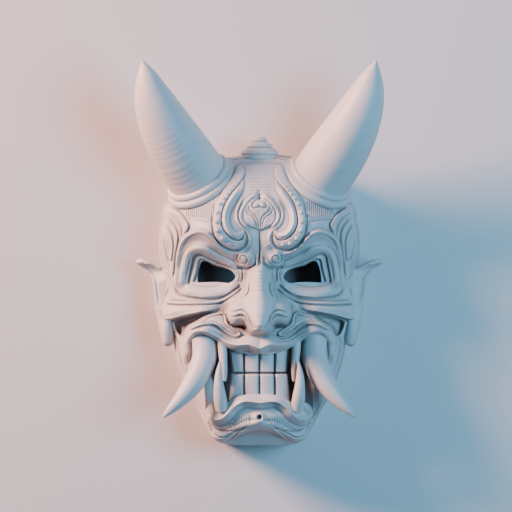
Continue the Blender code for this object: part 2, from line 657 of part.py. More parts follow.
def mask_face():
    """The one cast body: face, collars, ears, knob, front teeth and fangs."""
    body = face_block()
    combine(body, "openings", "DIFFERENCE", [hollow_block(), mouth_cutter(),
                                             through_cutter("right_eye", EYE_STROKES, 1),
                                             through_cutter("left_eye", EYE_STROKES, -1)])
    added = [knob()]
    for word, side in SIDES:
        added += [collar(word + "_collar", side), ear(word + "_ear", side)]
        for row, teeth in (("upper", UPPER_TEETH), ("lower", LOWER_TEETH)):
            added += [tooth(f"{word}_{row}_tooth_{i}", corners, side) for i, corners in enumerate(teeth)]
        added += [round_tooth(word + "_upper_fang", UPPER_FANG, side, FANG_SIDES, FANG_STEP),
                  round_tooth(word + "_lower_fang", LOWER_FANG, side, FANG_SIDES, FANG_STEP)]
    combine(body, "cast_on", "UNION", added)
    seats = []
    for word, side in SIDES:
        seats += [horn(word + "_horn_seat", side, grow=SEAT_GAP),
                  round_tooth(word + "_tusk_seat", TUSK, side, TUSK_SIDES, TUSK_STEP, grow=SEAT_GAP)]
    combine(body, "seats", "DIFFERENCE", seats)
    return body


for old in list(bpy.data.objects):
    bpy.data.objects.remove(old)
finish(mask_face(), FACE_SHADE)
for word, side in SIDES:
    finish(horn(word + "_horn", side), HORN_SHADE)
    finish(round_tooth(word + "_tusk", TUSK, side, TUSK_SIDES, TUSK_STEP), HORN_SHADE)
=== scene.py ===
"""Looks of the oni mask: pale grey cast resin, finely carved, lying on a pale floor under soft lights.

The mask lies on its back rim at Z = 0 and looks along +Z. +Y runs up the face and +X to the viewer's right.
Sizes are in millimetres and become metres when a mesh is made. One half is described, with u for the
distance outwards from the middle line and v for the height up the face, and is mirrored at u = 0.
"""

from collections import namedtuple
from math import ceil, cos, pi, radians, sin

import bmesh
import bpy
import numpy as np
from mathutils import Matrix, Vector
from mathutils.geometry import delaunay_2d_cdt


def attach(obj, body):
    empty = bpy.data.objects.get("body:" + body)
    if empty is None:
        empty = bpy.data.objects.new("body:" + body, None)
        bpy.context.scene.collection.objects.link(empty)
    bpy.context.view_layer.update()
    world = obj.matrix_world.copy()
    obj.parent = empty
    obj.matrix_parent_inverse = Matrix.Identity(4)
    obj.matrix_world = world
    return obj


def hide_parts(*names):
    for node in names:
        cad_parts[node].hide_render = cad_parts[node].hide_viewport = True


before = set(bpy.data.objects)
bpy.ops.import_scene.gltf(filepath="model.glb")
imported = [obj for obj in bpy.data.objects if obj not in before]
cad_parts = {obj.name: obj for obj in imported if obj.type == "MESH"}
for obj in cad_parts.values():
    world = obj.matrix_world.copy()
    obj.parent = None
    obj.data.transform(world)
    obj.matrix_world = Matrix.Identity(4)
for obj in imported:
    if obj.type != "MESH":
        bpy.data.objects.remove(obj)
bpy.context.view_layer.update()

MM = 0.001

# Driving sizes of the whole mask, as the solids have them
WALL = 5.0
RIM_STAND = 24.0
CHIN_STAND = 44.0
CHIN_TURN = 105
CHIN_TURN_LENGTH = 40
ROUNDING = 42.0
SIDE_FALL = 9.0
FACE_HALF_WIDTH = 75.0
HOLLOW_SINK = WALL + 3.0
HOLLOW_EDGE_DROP = WALL + 1.0
LEAST_WALL = 4.0
WALL_PROBE = 3.5

# How finely the skins are cut into triangles
SKIN_PITCH = 0.82
BACK_PITCH = 4.5
LINE_STEP = 0.95
EDGE_STEP = 1.1
EDGE_CLEARANCE = 0.5
GUIDE_CLEARANCE = 0.42
RING_CLEARANCE = 0.6
MERGE_NEAR = 0.12
ON_MIDDLE = 0.01
ON_RIM = 0.01
MIDDLE_SNAP = 0.35

# Horn seat: where the horn leaves the head, which way it leans, and its girth there
HORN_SEAT = (49.3, 61.8, 42.0)
HORN_OUTWARD = 57.5
HORN_FORWARD = 29.0
HORN_RADIUS = 24.2

# Height of the plain face above the rim along the middle line, by v
MIDDLE_HEIGHT = ((-150, 50), (-135, 63), (-120, 66), (-100, 64), (-80, 64), (-60, 62), (-40, 60), (-20, 62),
                 (0, 67), (20, 71), (40, 70), (60, 66), (80, 62))

HEAD_OUTLINE = ((0, 78), (10, 77.7), (25, 75.8), (37, 74), (48, 70), (58, 62), (65, 52), (69.5, 42),
                (75, 35.5), (75.7, 27), (77.8, 18), (78.3, 7), (77.8, -3), (76.4, -11), (76, -24),
                (77.5, -35), (79, -43), (77.5, -49), (73, -56), (69.5, -63), (67.3, -72), (66, -80),
                (63.8, -88), (60, -99.5), (54, -113.7), (49, -121), (44, -130), (39.5, -138), (36, -144),
                (31, -147.3), (24, -148.6), (15, -150), (0, -150))

# Each opening is a ring of smooth strokes that meet in corners
EYE_STROKES = (((48.7, -22.7), (48, -15), (46.6, -9.5), (45, -5.9)),
               ((45, -5.9), (41.9, -5.9), (35.4, -9.2), (27.2, -11.2), (21, -13.9), (18.7, -18),
                (20.6, -21.3), (23.9, -23.1)),
               ((23.9, -23.1), (33, -22.2), (41, -22.3), (48.7, -22.7)))
MOUTH_STROKES = (((0, -78), (8, -78), (15.8, -76.9), (21.7, -74.5), (28, -71), (34, -67.3), (40, -64),
                  (45, -62.2), (50, -63), (52.5, -67), (51.5, -75), (47, -88), (43.5, -100), (42.5, -111),
                  (42.3, -122.5)),
                 ((42.3, -122.5), (39.5, -118.7), (36, -116)),
                 ((36, -116), (34, -119), (31, -119.2), (24, -115), (17, -111), (10, -109.6), (0, -109.3)))
MOUTH_NARROWING = 0.16

Relief = namedtuple("Relief", "rise guides")


# Curves and distances

def smooth_line(points, step):
    """A curve through given points, with a point about every step millimetres."""
    points = np.array(points, float)
    along = np.concatenate([[0], np.cumsum(np.linalg.norm(np.diff(points, axis=0), axis=1))])
    if len(points) > 2:
        slope = np.gradient(points, along, axis=0)
    else:
        slope = np.diff(points, axis=0)[[0, 0]] / along[-1]
    at = np.linspace(0, along[-1], max(2, ceil(along[-1] / step) + 1))
    leg = np.clip(np.searchsorted(along, at, side="right") - 1, 0, len(along) - 2)
    length = (along[leg + 1] - along[leg])[:, None]
    t = (at - along[leg])[:, None] / length
    return ((2 * t**3 - 3 * t**2 + 1) * points[leg] + (t**3 - 2 * t**2 + t) * length * slope[leg]
            + (3 * t**2 - 2 * t**3) * points[leg + 1] + (t**3 - t**2) * length * slope[leg + 1])


def joined(strokes, step):
    """The strokes of an outline as one run of points, each shared corner once."""
    lines = [smooth_line(stroke, step) for stroke in strokes]
    return np.concatenate([lines[0]] + [line[1:] for line in lines[1:]])


def distance_to(line, at):
    """Distance of points from a line, positive on its left side, and their place along it from 0 to 1."""
    start, leg = line[:-1], np.diff(line, axis=0)
    length = np.hypot(*leg.T)
    done = np.concatenate([[0], np.cumsum(length)])
    gaps, places = [], []
    for part_of in np.array_split(at, max(1, len(at) * len(line) // 2000000)):
        off = part_of[:, None] - start
        part = np.clip((off * leg).sum(-1) / length**2, 0, 1)
        gap = np.hypot(*np.moveaxis(off - part[..., None] * leg, -1, 0))
        near = gap.argmin(1)
        rows = np.arange(len(part_of))
        side = leg[near, 0] * off[rows, near, 1] - leg[near, 1] * off[rows, near, 0]
        gaps.append(np.where(side < 0, -1, 1) * gap[rows, near])
        places.append((done[near] + part[rows, near] * length[near]) / done[-1])
    return np.concatenate(gaps), np.concatenate(places)


def inside(ring, at):
    """Whether each point lies inside a closed ring."""
    a, b = ring, np.roll(ring, -1, axis=0)
    rise = np.where(b[:, 1] == a[:, 1], 1, b[:, 1] - a[:, 1])
    found = []
    for part in np.array_split(at, max(1, len(at) * len(ring) // 4000000)):
        crosses = (a[:, 1] > part[:, None, 1]) != (b[:, 1] > part[:, None, 1])
        across = a[:, 0] + (part[:, None, 1] - a[:, 1]) * (b[:, 0] - a[:, 0]) / rise
        found.append((crosses & (part[:, None, 0] < across)).sum(1) % 2 == 1)
    return np.concatenate(found)


def smooth_step(t):
    t = np.clip(t, 0, 1)
    return t * t * (3 - 2 * t)


def ease_ends(along, ends):
    """1 along a line, easing to 0 over the given share of it at its start and at its end."""
    start = smooth_step(along / ends[0]) if ends[0] else 1
    finish = smooth_step((1 - along) / ends[1]) if ends[1] else 1
    return start * finish


def beside(line, offset):
    """The line moved sideways, to its left when the offset is positive."""
    slope = np.gradient(line, axis=0)
    return line + offset * np.stack([-slope[:, 1], slope[:, 0]], 1) / np.hypot(*slope.T)[:, None]


def closed(ring):
    return np.concatenate([ring, ring[:1]])


# Makers of relief. Narrow ones also give the lines that the mesh follows

GUIDED_ROLL = 8
GUIDED_CREST = 1.7
RIM_GROOVE = 0.6
RIM_GROOVE_OUT = 0.5
RIM_GROOVE_HALF = 0.8


def near_line(line, reach, shape):
    """A relief that is worked out only within reach of a line, from the distance and the place along it."""
    low, high = line.min(0) - reach, line.max(0) + reach

    def rise(at):
        found = np.flatnonzero(((at > low) & (at < high)).all(1))
        height = np.zeros(len(at))
        if len(found):
            height[found] = shape(*distance_to(line, at[found]))
        return height

    return rise


def ledge(points, up, down, reach_up, reach_down, face=1.0, ends=(0.15, 0.15)):
    """A step along a line: the left side stands up and fades over its reach, and the right side drops."""
    line = smooth_line(points, LINE_STEP)

    def shape(gap, along):
        high = up * np.clip(1 - gap / reach_up, 0, 1) ** 2
        low = -down * np.clip(1 + (gap + face) / reach_down, 0, 1) ** 2
        across = np.clip(1 + gap / face, 0, 1)
        return ease_ends(along, ends) * np.where(gap > 0, high, across * up + (1 - across) * low)

    reach = max(reach_up, reach_down + face)
    return Relief(near_line(line, reach, shape), [line, beside(line, -face)])


def roll(points, height, half_width, ends=(0.15, 0.15)):
    """A rounded bead along a line, or a rounded channel where the height is negative."""
    line = smooth_line(points, LINE_STEP)

    def shape(gap, along):
        return ease_ends(along, ends) * height * np.clip(1 - (gap / half_width) ** 2, 0, 1)

    edges = [beside(line, half_width), beside(line, -half_width)] if half_width < GUIDED_ROLL else []
    return Relief(near_line(line, half_width, shape), edges)


def crest(points, height, left, right, power=1.7, ends=(0.12, 0.12)):
    """A sharp edge whose flanks each have their own reach, or a groove where the height is negative."""
    line = smooth_line(points, LINE_STEP)

    def shape(gap, along):
        reach = np.where(gap > 0, left, right)
        return ease_ends(along, ends) * height * np.clip(1 - np.abs(gap) / reach, 0, 1) ** power

    edges = [beside(line, left), beside(line, -right)] if max(left, right) < GUIDED_CREST else []
    return Relief(near_line(line, max(left, right), shape), [line] + edges)


def plate(strokes, height, edge, crown=0.0, rim=0.0, rim_width=1.9):
    """A flat inside a closed outline, raised or sunk, with a rounded edge.

    It can have a soft crown, or a raised rim with a groove along its inner side.
    """
    ring = joined(strokes, LINE_STEP)
    low, high = ring.min(0), ring.max(0)

    def rise(at):
        found = np.flatnonzero(((at > low) & (at < high)).all(1))
        found = found[inside(ring, at[found])] if len(found) else found
        made = np.zeros(len(at))
        if len(found):
            gap = np.abs(distance_to(ring, at[found])[0])
            t = np.clip(gap / edge, 0, 1)
            made[found] = height * np.sqrt(1 - (1 - t) ** 2) + crown * smooth_step(gap / (4 * edge))
            made[found] += rim * np.clip(1 - (2 * gap / rim_width - 1) ** 2, 0, 1)
            groove = np.clip(1 - np.abs(gap - rim_width - RIM_GROOVE_OUT) / RIM_GROOVE_HALF, 0, 1)
            made[found] -= RIM_GROOVE * rim * groove
        return made

    turn = 1 if np.cross(ring, np.roll(ring, -1, axis=0)).sum() > 0 else -1
    offsets = [0.3 * edge, edge] + ([rim_width / 2, rim_width, rim_width + RIM_GROOVE_OUT] if rim else [])
    return Relief(rise, [ring] + [beside(ring, turn * offset) for offset in offsets])


def mound(centre, radii, height):
    """A soft swelling, or a hollow where the height is negative."""

    def rise(at):
        reach = (((at - centre) / radii) ** 2).sum(1)
        return height * np.clip(1 - reach, 0, 1) ** 2

    return Relief(rise, [])


def lines(kind, runs, *values, **named):
    """The same relief along several lines."""
    return [kind(points, *values, **named) for points in runs]


# Broad forms, close to those of the solids, with the nose a little finer

NOSE_RIDGE = ((-4, 7, 0), (-12, 9.5, 9), (-20, 11.5, 16), (-28, 14.5, 23), (-34, 18.5, 28),
              (-40, 22.5, 33), (-46, 24, 36), (-51, 22, 36.4), (-55, 16, 35), (-58.5, 12, 30),
              (-60.5, 10.5, 21), (-62.2, 9.5, 8), (-64, 9, 0))
NOSE_WING = ((16, -47.4), (9.2, 9.4), 60, 24)
NOSE_WING_TOP = 15.0
NOSE_WING_ROUND = 0.5
NOSE_WING_DRAWN = 0.7
NOSE_CROWNING = 1.35
NOSE_BLEND = 12.0
NOSTRIL = roll(((21.5, -55.6), (18, -55.9), (14, -56.0), (11, -57.2), (8.6, -58.9)), -5.5, 2.2,
               ends=(0.4, 0.35))


def nose_ridge(at, shrink=0.0):
    """How far the ridge of the nose stands out, from its width and height down the middle line."""
    v, width, height = np.array(NOSE_RIDGE[::-1], float).T
    half = np.interp(at[:, 1], v, width) - shrink / 2
    rise = np.interp(at[:, 1], v, height) - shrink
    return np.maximum(rise, 0) * np.maximum(1 - (at[:, 0] / half) ** 2, 0) ** NOSE_CROWNING


def nose_wing(at, shrink=0.0):
    """The ball at the side of the nose, drawn out softly at its top, with steep ground round it."""
    centre, radii, base, rise = NOSE_WING
    off = at - centre
    tall = np.where(off[:, 1] > 0, NOSE_WING_TOP, radii[1]) - shrink
    reach = (off[:, 0] / (radii[0] - shrink)) ** 2 + (off[:, 1] / tall) ** 2
    power = NOSE_WING_ROUND + NOSE_WING_DRAWN * smooth_step(off[:, 1] / NOSE_WING_TOP)
    return base + (rise - shrink) * np.where(reach < 1, np.maximum(1 - reach, 0) ** power, 1 - reach)


def blend_over(low, high, soft):
    """The higher of two heights, with a fillet of about the given size where they meet."""
    near = np.clip(1 - np.abs(low - high) / soft, 0, 1)
    return np.maximum(low, high) + soft / 4 * near**2


def side_heights(v):
    """How high the outline edge stands above the rim: more at the chin, which turns back under itself."""
    return RIM_STAND + (CHIN_STAND - RIM_STAND) * smooth_step((-v - CHIN_TURN) / CHIN_TURN_LENGTH)


def plain_face(at, outline, sink, stand_drop):
    """The domed face with no features, rounded off towards its outline."""
    knots = np.array(smooth_line(MIDDLE_HEIGHT, 2.0), float)
    top = np.interp(at[:, 1], *knots.T) - SIDE_FALL * (at[:, 0] / FACE_HALF_WIDTH) ** 2 - sink
    edge = side_heights(at[:, 1]) - stand_drop
    near = np.clip(np.abs(distance_to(outline, at)[0]) / ROUNDING, 0, 1)
    return edge + (top - edge) * np.sqrt(1 - (1 - near) ** 2)


# Forms of the face, from the crown down. The left of a line drawn outwards is its upper side

S_CREST = ((12, 43.5), (14.5, 40.5), (16.5, 36.5), (17.8, 32), (17.8, 28.5), (16.5, 24.5), (13.5, 20.8),
           (10, 17.8), (8.2, 15), (7.5, 12), (8, 9), (10.5, 5), (14.5, 1.8), (19, 0), (24, 1))
BROW_CREST = ((10.5, 5), (14.5, 1.8), (19, 0), (24, 1), (29, 3.3), (32.5, 6.2), (35.5, 10), (38.5, 13.5),
              (42, 16), (46, 17.2), (51, 16.3), (55, 14.5), (59, 11), (61.3, 7.5), (63, 2), (64.5, -6),
              (65.4, -14), (65.7, -22), (65.3, -27), (63.8, -31))
LID_MIDDLE = ((17, -10.2), (20, -9), (24, -7.2), (28, -5.4), (32, -3.3), (36, -1), (40, 1.3), (44, 3.2),
              (48, 3.7), (52, 3), (55, 1), (57, -2.5), (58.8, -8), (60.2, -14), (60.7, -20), (60.4, -26))
BROW_HOLLOW = ((26, -3), (30, -0.3), (34, 4), (38, 8), (42, 10.5), (47, 11.4), (52, 10.4), (56.5, 7.6),
               (59.4, 3), (61.4, -3), (62.8, -10), (63.6, -18))
EYE_STEP_1 = ((14.5, -12), (16, -11.3), (19, -10.6), (22, -9.7), (26, -8.3), (30, -6.9), (34, -5.2),
              (38, -3.4), (42, -1.3), (45, 0.2), (48, 0.7), (50.3, 0.4), (52.3, -0.8), (53.5, -3),
              (54.3, -7), (55.6, -13), (56.8, -20), (57.3, -25))
EYE_STEP_2 = ((18.5, -13), (21, -12), (25, -10.6), (30, -9.2), (36, -7.4), (40, -5.6), (43, -4.1), (45, -3.3),
              (47.3, -3.5), (48.8, -5.4), (49.6, -9), (50.6, -14), (52.1, -19), (53, -23))
LOWER_LID = ((60.5, -26.5), (56, -28.6), (50, -30), (45, -30.7), (40, -31), (35, -30.6), (30, -29.4),
             (25, -27.2), (22, -25.2), (19, -23.2), (16, -21.5))
UNDER_LID = ((66, -24), (65.2, -28), (63.3, -31), (60, -33), (55, -34), (50, -34.6), (45, -34.9), (40, -34.7),
             (35, -34.3), (30, -33.5), (26, -32.1), (22, -29.6), (19, -27.4), (16.5, -25.2), (14.5, -23))
EYE = [
    mound((34, 15), (38, 24), 8),
    mound((37, -15), (36, 23), -7),
    crest(S_CREST, 1.6, 1.5, 2.0, power=1.0, ends=(0.1, 0.25)),
    crest(((10.5, 43.5), (13.5, 40.5), (15.7, 36), (16.6, 31.5), (16.2, 27.5), (14.5, 23.5), (11.5, 20),
           (8.8, 17), (7, 13.5)), -0.8, 0.9, 0.9, power=1.0, ends=(0.1, 0.15)),
    crest(BROW_CREST, 3.8, 3.0, 8.5, power=1.5, ends=(0.22, 0.1)),
    crest(((27.6, 4.1), (31.2, 7.4), (34.1, 11.2), (37.2, 14.8), (40.6, 17.2)), -2.2, 1.5, 1.4, power=1.0,
          ends=(0.4, 0.3)),
    crest(((33, 4.5), (36.5, 9.2), (40, 12.7), (43.5, 14.9), (47, 15.4), (51, 14.5), (55, 12.4), (58, 9.3),
           (60, 5), (61.2, 0)), -0.8, 0.9, 0.9, power=1.0, ends=(0.2, 0.2)),
    roll(BROW_HOLLOW, -2.0, 4.2, ends=(0.15, 0.15)),
    roll(LID_MIDDLE, 2.6, 2.9, ends=(0.08, 0.08)),
    ledge(EYE_STEP_1, 0.9, 3.0, 3, 6, face=1.3, ends=(0.3, 0.06)),
    ledge(EYE_STEP_2, 0.9, 3.0, 3, 8, face=1.3, ends=(0.3, 0.05)),
    roll(((17.5, -12.4), (16.7, -16), (16.9, -19), (18, -21.5)), 1.3, 1.0),
    crest(((14.7, -9.5), (13.7, -11.5), (13.3, -14), (13.3, -17), (13.4, -20), (14.2, -23)), -1.2, 1.1, 1.1,
          power=1.0),
    roll(((15.2, -11.5), (14.7, -15), (14.8, -18), (15.4, -21)), 0.8, 0.9),
    roll(LOWER_LID, 2.6, 5.0, ends=(0.12, 0.12)),
    crest(UNDER_LID, -3.2, 3.2, 1.2, power=1.2, ends=(0.1, 0.06)),
]

BAND_BORDER = ((13.3, 57.5), (17, 52.7), (21.1, 48), (25.1, 42), (28.1, 35), (29.4, 29), (29.5, 24), (28, 19),
               (25, 14.8), (21, 11.6), (17, 10.4), (14, 11.3), (12.5, 13.5), (10.8, 15.8))
STUD_BAND = (((11.5, 66), (13.5, 69), (16.3, 70), (18.5, 67.5), (20, 63), (22, 59), (25, 54.5), (28, 50),
              (31, 45), (34, 40), (35.3, 35), (36, 30), (36, 25), (35.5, 20), (34.5, 15), (33, 11.5),
              (30, 8), (27, 5.5), (24, 4), (20, 3.3), (17, 3.7), (14, 5), (12, 7), (10.7, 10), (10.4, 13),
              (10.8, 15.8)), BAND_BORDER[::-1], ((13.3, 57.5), (11.5, 62), (11.5, 66)))
HOOK_BAND = (BAND_BORDER, ((10.8, 15.8), (12.5, 18.7), (14.5, 16.9), (17, 16.9), (20, 19), (22.5, 23),
                           (23.2, 28), (22, 33), (19.5, 38), (16, 44), (13.5, 48), (12.3, 52), (12.3, 57),
                           (13.3, 57.5)))
HOOK_CREST = ((13.5, 53.5), (17, 49), (20.5, 44.2), (24, 38.5), (26, 33.5), (26.8, 29), (26.7, 25),
              (25.3, 20.5), (23, 17), (19.5, 14.2), (16, 13.8), (13, 15.8))
JEWEL = (((0, 42.7), (3, 43), (6, 41.5), (8.5, 39.3), (11, 35.3), (12, 33), (12.4, 30), (12, 27), (10, 23.5),
          (8, 21.5), (5, 20), (2, 19), (0, 18.3)),
         ((0, 18.3), (-6, 20.5)), ((-6, 20.5), (-6, 41.5)), ((-6, 41.5), (0, 42.7)))
CROWN = [
    mound((53, 62), (38, 38), -11),
    crest(((36.8, 23.4), (42, 25.2), (50, 26.3), (57.5, 27.2)), -0.7, 0.9, 0.9, power=1.0),
    plate(STUD_BAND, 2.4, 2.2),
    plate(HOOK_BAND, 1.2, 1.0),
    crest(HOOK_CREST, 2.4, 2.6, 3.6, power=1.1, ends=(0.15, 0.12)),
    crest(BAND_BORDER, -0.9, 0.9, 0.9, power=1.0, ends=(0.1, 0.1)),
    crest(((2, 47), (8, 42.5), (12, 37), (14.6, 31), (14.3, 27), (12, 23.3), (8.5, 20)), 2.2, 1.8, 3.4,
          power=1.0, ends=(0.12, 0.1)),
    plate(JEWEL, 2.2, 2.0, crown=1.3),
    crest(((0, 52), (0, 48), (0, 42.7)), -2.2, 2.2, 2.2, power=1.1, ends=(0.7, 0)),
    crest(((0, 42), (2, 41.8), (4, 40.2), (5.2, 38.5), (5.5, 37.2), (4.8, 36), (3, 35.5), (1.5, 36),
           (0, 36.8)), -1.4, 1.2, 1.2, power=1.0, ends=(0, 0)),
    mound((2.6, 38.6), (3.2, 2.6), 0.5),
    crest(((8, 37.5), (8.3, 36), (7.8, 34), (6, 32), (4, 30.5), (2.3, 28.5), (1.2, 26), (0.8, 22),
           (0.6, 19.5)), -1.1, 1.2, 1.2, power=1.0, ends=(0.1, 0.05)),
    crest(((10, 35.5), (10, 33.5), (9, 31.5), (7, 29.8), (5, 28.6), (3.5, 26.5), (2.7, 24), (2.4, 20)),
          -1.0, 1.1, 1.1, power=1.0, ends=(0.1, 0.05)),
    crest(((0, 18.5), (0, 10), (0, 4), (0, -1), (0, -5)), -1.1, 1.1, 1.1, power=1.0, ends=(0.08, 0.2)),
    mound((11.5, -4), (8.8, 8.8), 7.5),
    mound((5, 4), (7, 17), 2.2),
    crest(((0, -5.5), (2, -6), (5, -9.2), (9, -11.3), (14, -11), (19, -9.8)), -3.2, 1.4, 2.6, power=1.1),
    crest(((0, 71.3), (10, 71), (19, 70)), -1.3, 2.2, 1.6, power=1.2, ends=(0, 0.1)),
    ledge(((0, 76.2), (10, 76), (25, 74.4)), 1.4, 0.4, 2.0, 2.0, face=0.8, ends=(0, 0.2)),
    crest(((34.6, 37.8), (36.3, 30), (36.6, 24), (35.2, 15), (31.4, 8.6), (27.3, 5), (20, 2.4), (14, 4)),
          -1.6, 1.4, 0.9, power=1.0, ends=(0.2, 0.2)),
]

# The scroll at the foot of each brow, as a groove that winds inwards
SCROLL_CENTRE = (13.0, -4.0)
SCROLL_RADIUS = 4.9
SCROLL_TURNS = 1.55
SCROLL_START = 0.35 * pi
SCROLL_SHRINK = 0.82


def scroll():
    t = np.linspace(0, 1, 60)
    angle = SCROLL_START - t * SCROLL_TURNS * 2 * pi
    radius = SCROLL_RADIUS * (1 - SCROLL_SHRINK * t)
    u, v = SCROLL_CENTRE
    points = np.stack([u + radius * np.cos(angle), v + radius * np.sin(angle)], 1)
    return crest(points, -1.6, 0.9, 0.9, power=1.0, ends=(0.1, 0.1))


TEMPLE = [
    ledge(((70, 35.5), (66, 34), (62, 31), (60.2, 28.9), (57.8, 25.6), (56.4, 22.8), (57, 19.4), (58.8, 16.5),
           (61.3, 13)), 3.0, 1.8, 8, 4, face=1.6, ends=(0.1, 0.3)),
    ledge(((74.3, 26.7), (70.2, 24.4), (67, 21.1), (65, 16.6), (64.6, 11), (66, 3), (67.3, -5), (68, -13),
           (68.8, -20)), 2.0, 1.5, 4, 3, face=1.5, ends=(0.1, 0.1)),
    ledge(((75, 23), (72, 19.3), (69.3, 13.3), (68.4, 8), (68.6, 2), (69.4, -4), (69.8, -7.5)), 1.6, 1.3,
          3, 2.6, face=1.3, ends=(0.1, 0.1)),
    ledge(((74, 31), (69.7, 28.9), (65, 25.6), (62.4, 21), (61.8, 14), (62.6, 9)), 1.5, 1.2, 3, 3, face=1.4,
          ends=(0.15, 0.3)),
    crest(((75.5, 12), (74.7, 7), (73.5, 2), (71.8, -3), (69.7, -7)), -2.4, 1.3, 1.0, power=1.0,
          ends=(0.25, 0.1)),
    *lines(crest, (((76.8, 2), (75, -3.5), (72, -8.6), (70, -11.2)), ((76.4, -4), (74, -9.5), (70.4, -15.5)),
                   ((75.8, -10), (72.6, -16), (69.4, -21)), ((71, -26), (72.5, -31), (74.3, -34.5))),
           -1.3, 1.0, 1.0, power=1.0, ends=(0.2, 0.1)),
    crest(((77.6, -26), (77.6, -33)), -0.6, 0.8, 0.8, power=1.0, ends=(0.3, 0.3)),
]

FOLD = ((74.5, -37.6), (65, -38.4), (55, -38.6), (45, -38.4), (38, -38), (32, -37), (28, -35.6), (24, -33.4),
        (20, -30.7), (16.5, -27.8), (13.5, -25.3))
FOLD_GROOVE = ((75, -39.8), (65, -40.4), (55, -40.3), (47, -40), (40, -39.7), (35, -39.2), (31, -38.6),
               (27, -37), (23, -34.7), (19, -32), (15.5, -29.1), (12, -26.2))
UPPER_FOLD_GROOVE = ((73, -35.9), (60, -36.8), (50, -36.7), (40, -36.2), (33, -35.5), (28, -33.9), (23, -31),
                     (19, -28), (16, -25.8))
PLATE_CREST = ((31, -40.4), (35, -41), (40, -41.6), (45, -42.2), (50, -42.9), (55, -43.6), (60, -44.6),
               (65, -45.2), (70, -46.7), (75, -47.5), (78.5, -47))
PLATE_EDGE = ((29.5, -40.6), (32, -41.5), (36, -43), (40, -43.8), (45, -44.5), (50, -45.7), (55, -46.6),
              (60, -47.8), (64, -49), (68, -50.2), (72, -51), (77, -51))
RECESS = (((33, -44.6), (38, -45.6), (44, -46.8), (50, -48), (56, -49.2), (62, -50.9), (65, -52),
           (67.5, -53.8)), ((67.5, -53.8), (66.6, -57.5), (65, -61.3), (63, -64), (60.6, -64.9)),
          ((60.6, -64.9), (58.6, -63.4), (57.8, -61), (56.9, -58.6), (54, -56), (49, -52.9),
           (45.5, -50.5), (42, -47.9), (38.5, -46.5), (33, -44.6)))
CHEEK = [
    roll(FOLD, 1.7, 1.5, ends=(0.1, 0.1)),
    crest(FOLD_GROOVE, -2.0, 0.9, 1.5, power=1.1, ends=(0.06, 0.06)),
    crest(UPPER_FOLD_GROOVE, -1.0, 0.9, 0.9, power=1.0),
    ledge(PLATE_EDGE, 7, 5, 14, 9, face=1.8, ends=(0.35, 0.06)),
    plate(RECESS, -8, 2.0),
    crest(PLATE_CREST, 1.6, 5, 2.8, power=1.2, ends=(0.1, 0.05)),
    mound((62, -58), (13, 13), -6),
    mound((38, -52), (18, 10), 6),
    mound((24, -58), (15, 10), 5),
    mound((19, -36), (11, 10), 5),
    roll(((67.4, -52), (67.8, -57), (68.2, -61), (66.9, -65.5)), 1.4, 2.6),
    crest(((58.2, -52), (55, -54.2), (51.5, -52.8), (47.5, -50.4), (43.5, -48.2)), -1.8, 1.4, 1.0, power=1.0,
          ends=(0.2, 0.2)),
]

MOUSTACHE = (((28.8, -45.2), (27.5, -46), (26, -48), (25.5, -50), (25, -52.5), (24, -54.5), (22, -56),
              (20, -57.5), (17.5, -59), (15.5, -60), (14.3, -61.2)), ((14.3, -61.2), (14.5, -62.7),
                                                                      (15.5, -64), (17.5, -64.7),
                                                                      (20, -64.7), (23, -63.5),
                                                                      (26, -61.7), (29, -59.5),
                                                                      (31.5, -57.3), (34, -55.7),
                                                                      (37, -55), (41, -55), (45, -55.7),
                                                                      (50, -57.5), (54, -59.3),
                                                                      (56, -58.3)), ((56, -58.3),
                                                                                     (55, -57.3),
                                                                                     (52, -55.4),
                                                                                     (48, -53.2),
                                                                                     (45, -51.5),
                                                                                     (42, -49),
                                                                                     (40, -47.7),
                                                                                     (37, -46.8),
                                                                                     (33, -46),
                                                                                     (28.8, -45.2)))
UPPER_LIP = ((-7.8, -70.4), (-4, -71.8), (0, -73.4), (4, -71.8), (7.8, -70.4), (12, -70.5), (17.8, -70.9),
             (22, -70.2), (25.7, -68.9), (32.7, -64.9), (37.7, -62.4), (41, -60.8), (44.6, -60),
             (49.6, -60.5), (52.4, -62.4), (54.6, -64.9), (56.4, -68.5), (56.9, -73), (56.3, -79),
             (54.8, -86.5))
LOWER_LIP = ((-13, -115.1), (-9, -114.8), (-5, -115.2), (0, -115.8), (5, -115.2), (9, -114.8), (13, -115.1),
             (17, -117), (21, -120), (24, -123.5), (27, -126.5),
             (30, -128.5), (33, -129.3), (36, -129), (39, -127.8), (41, -126))
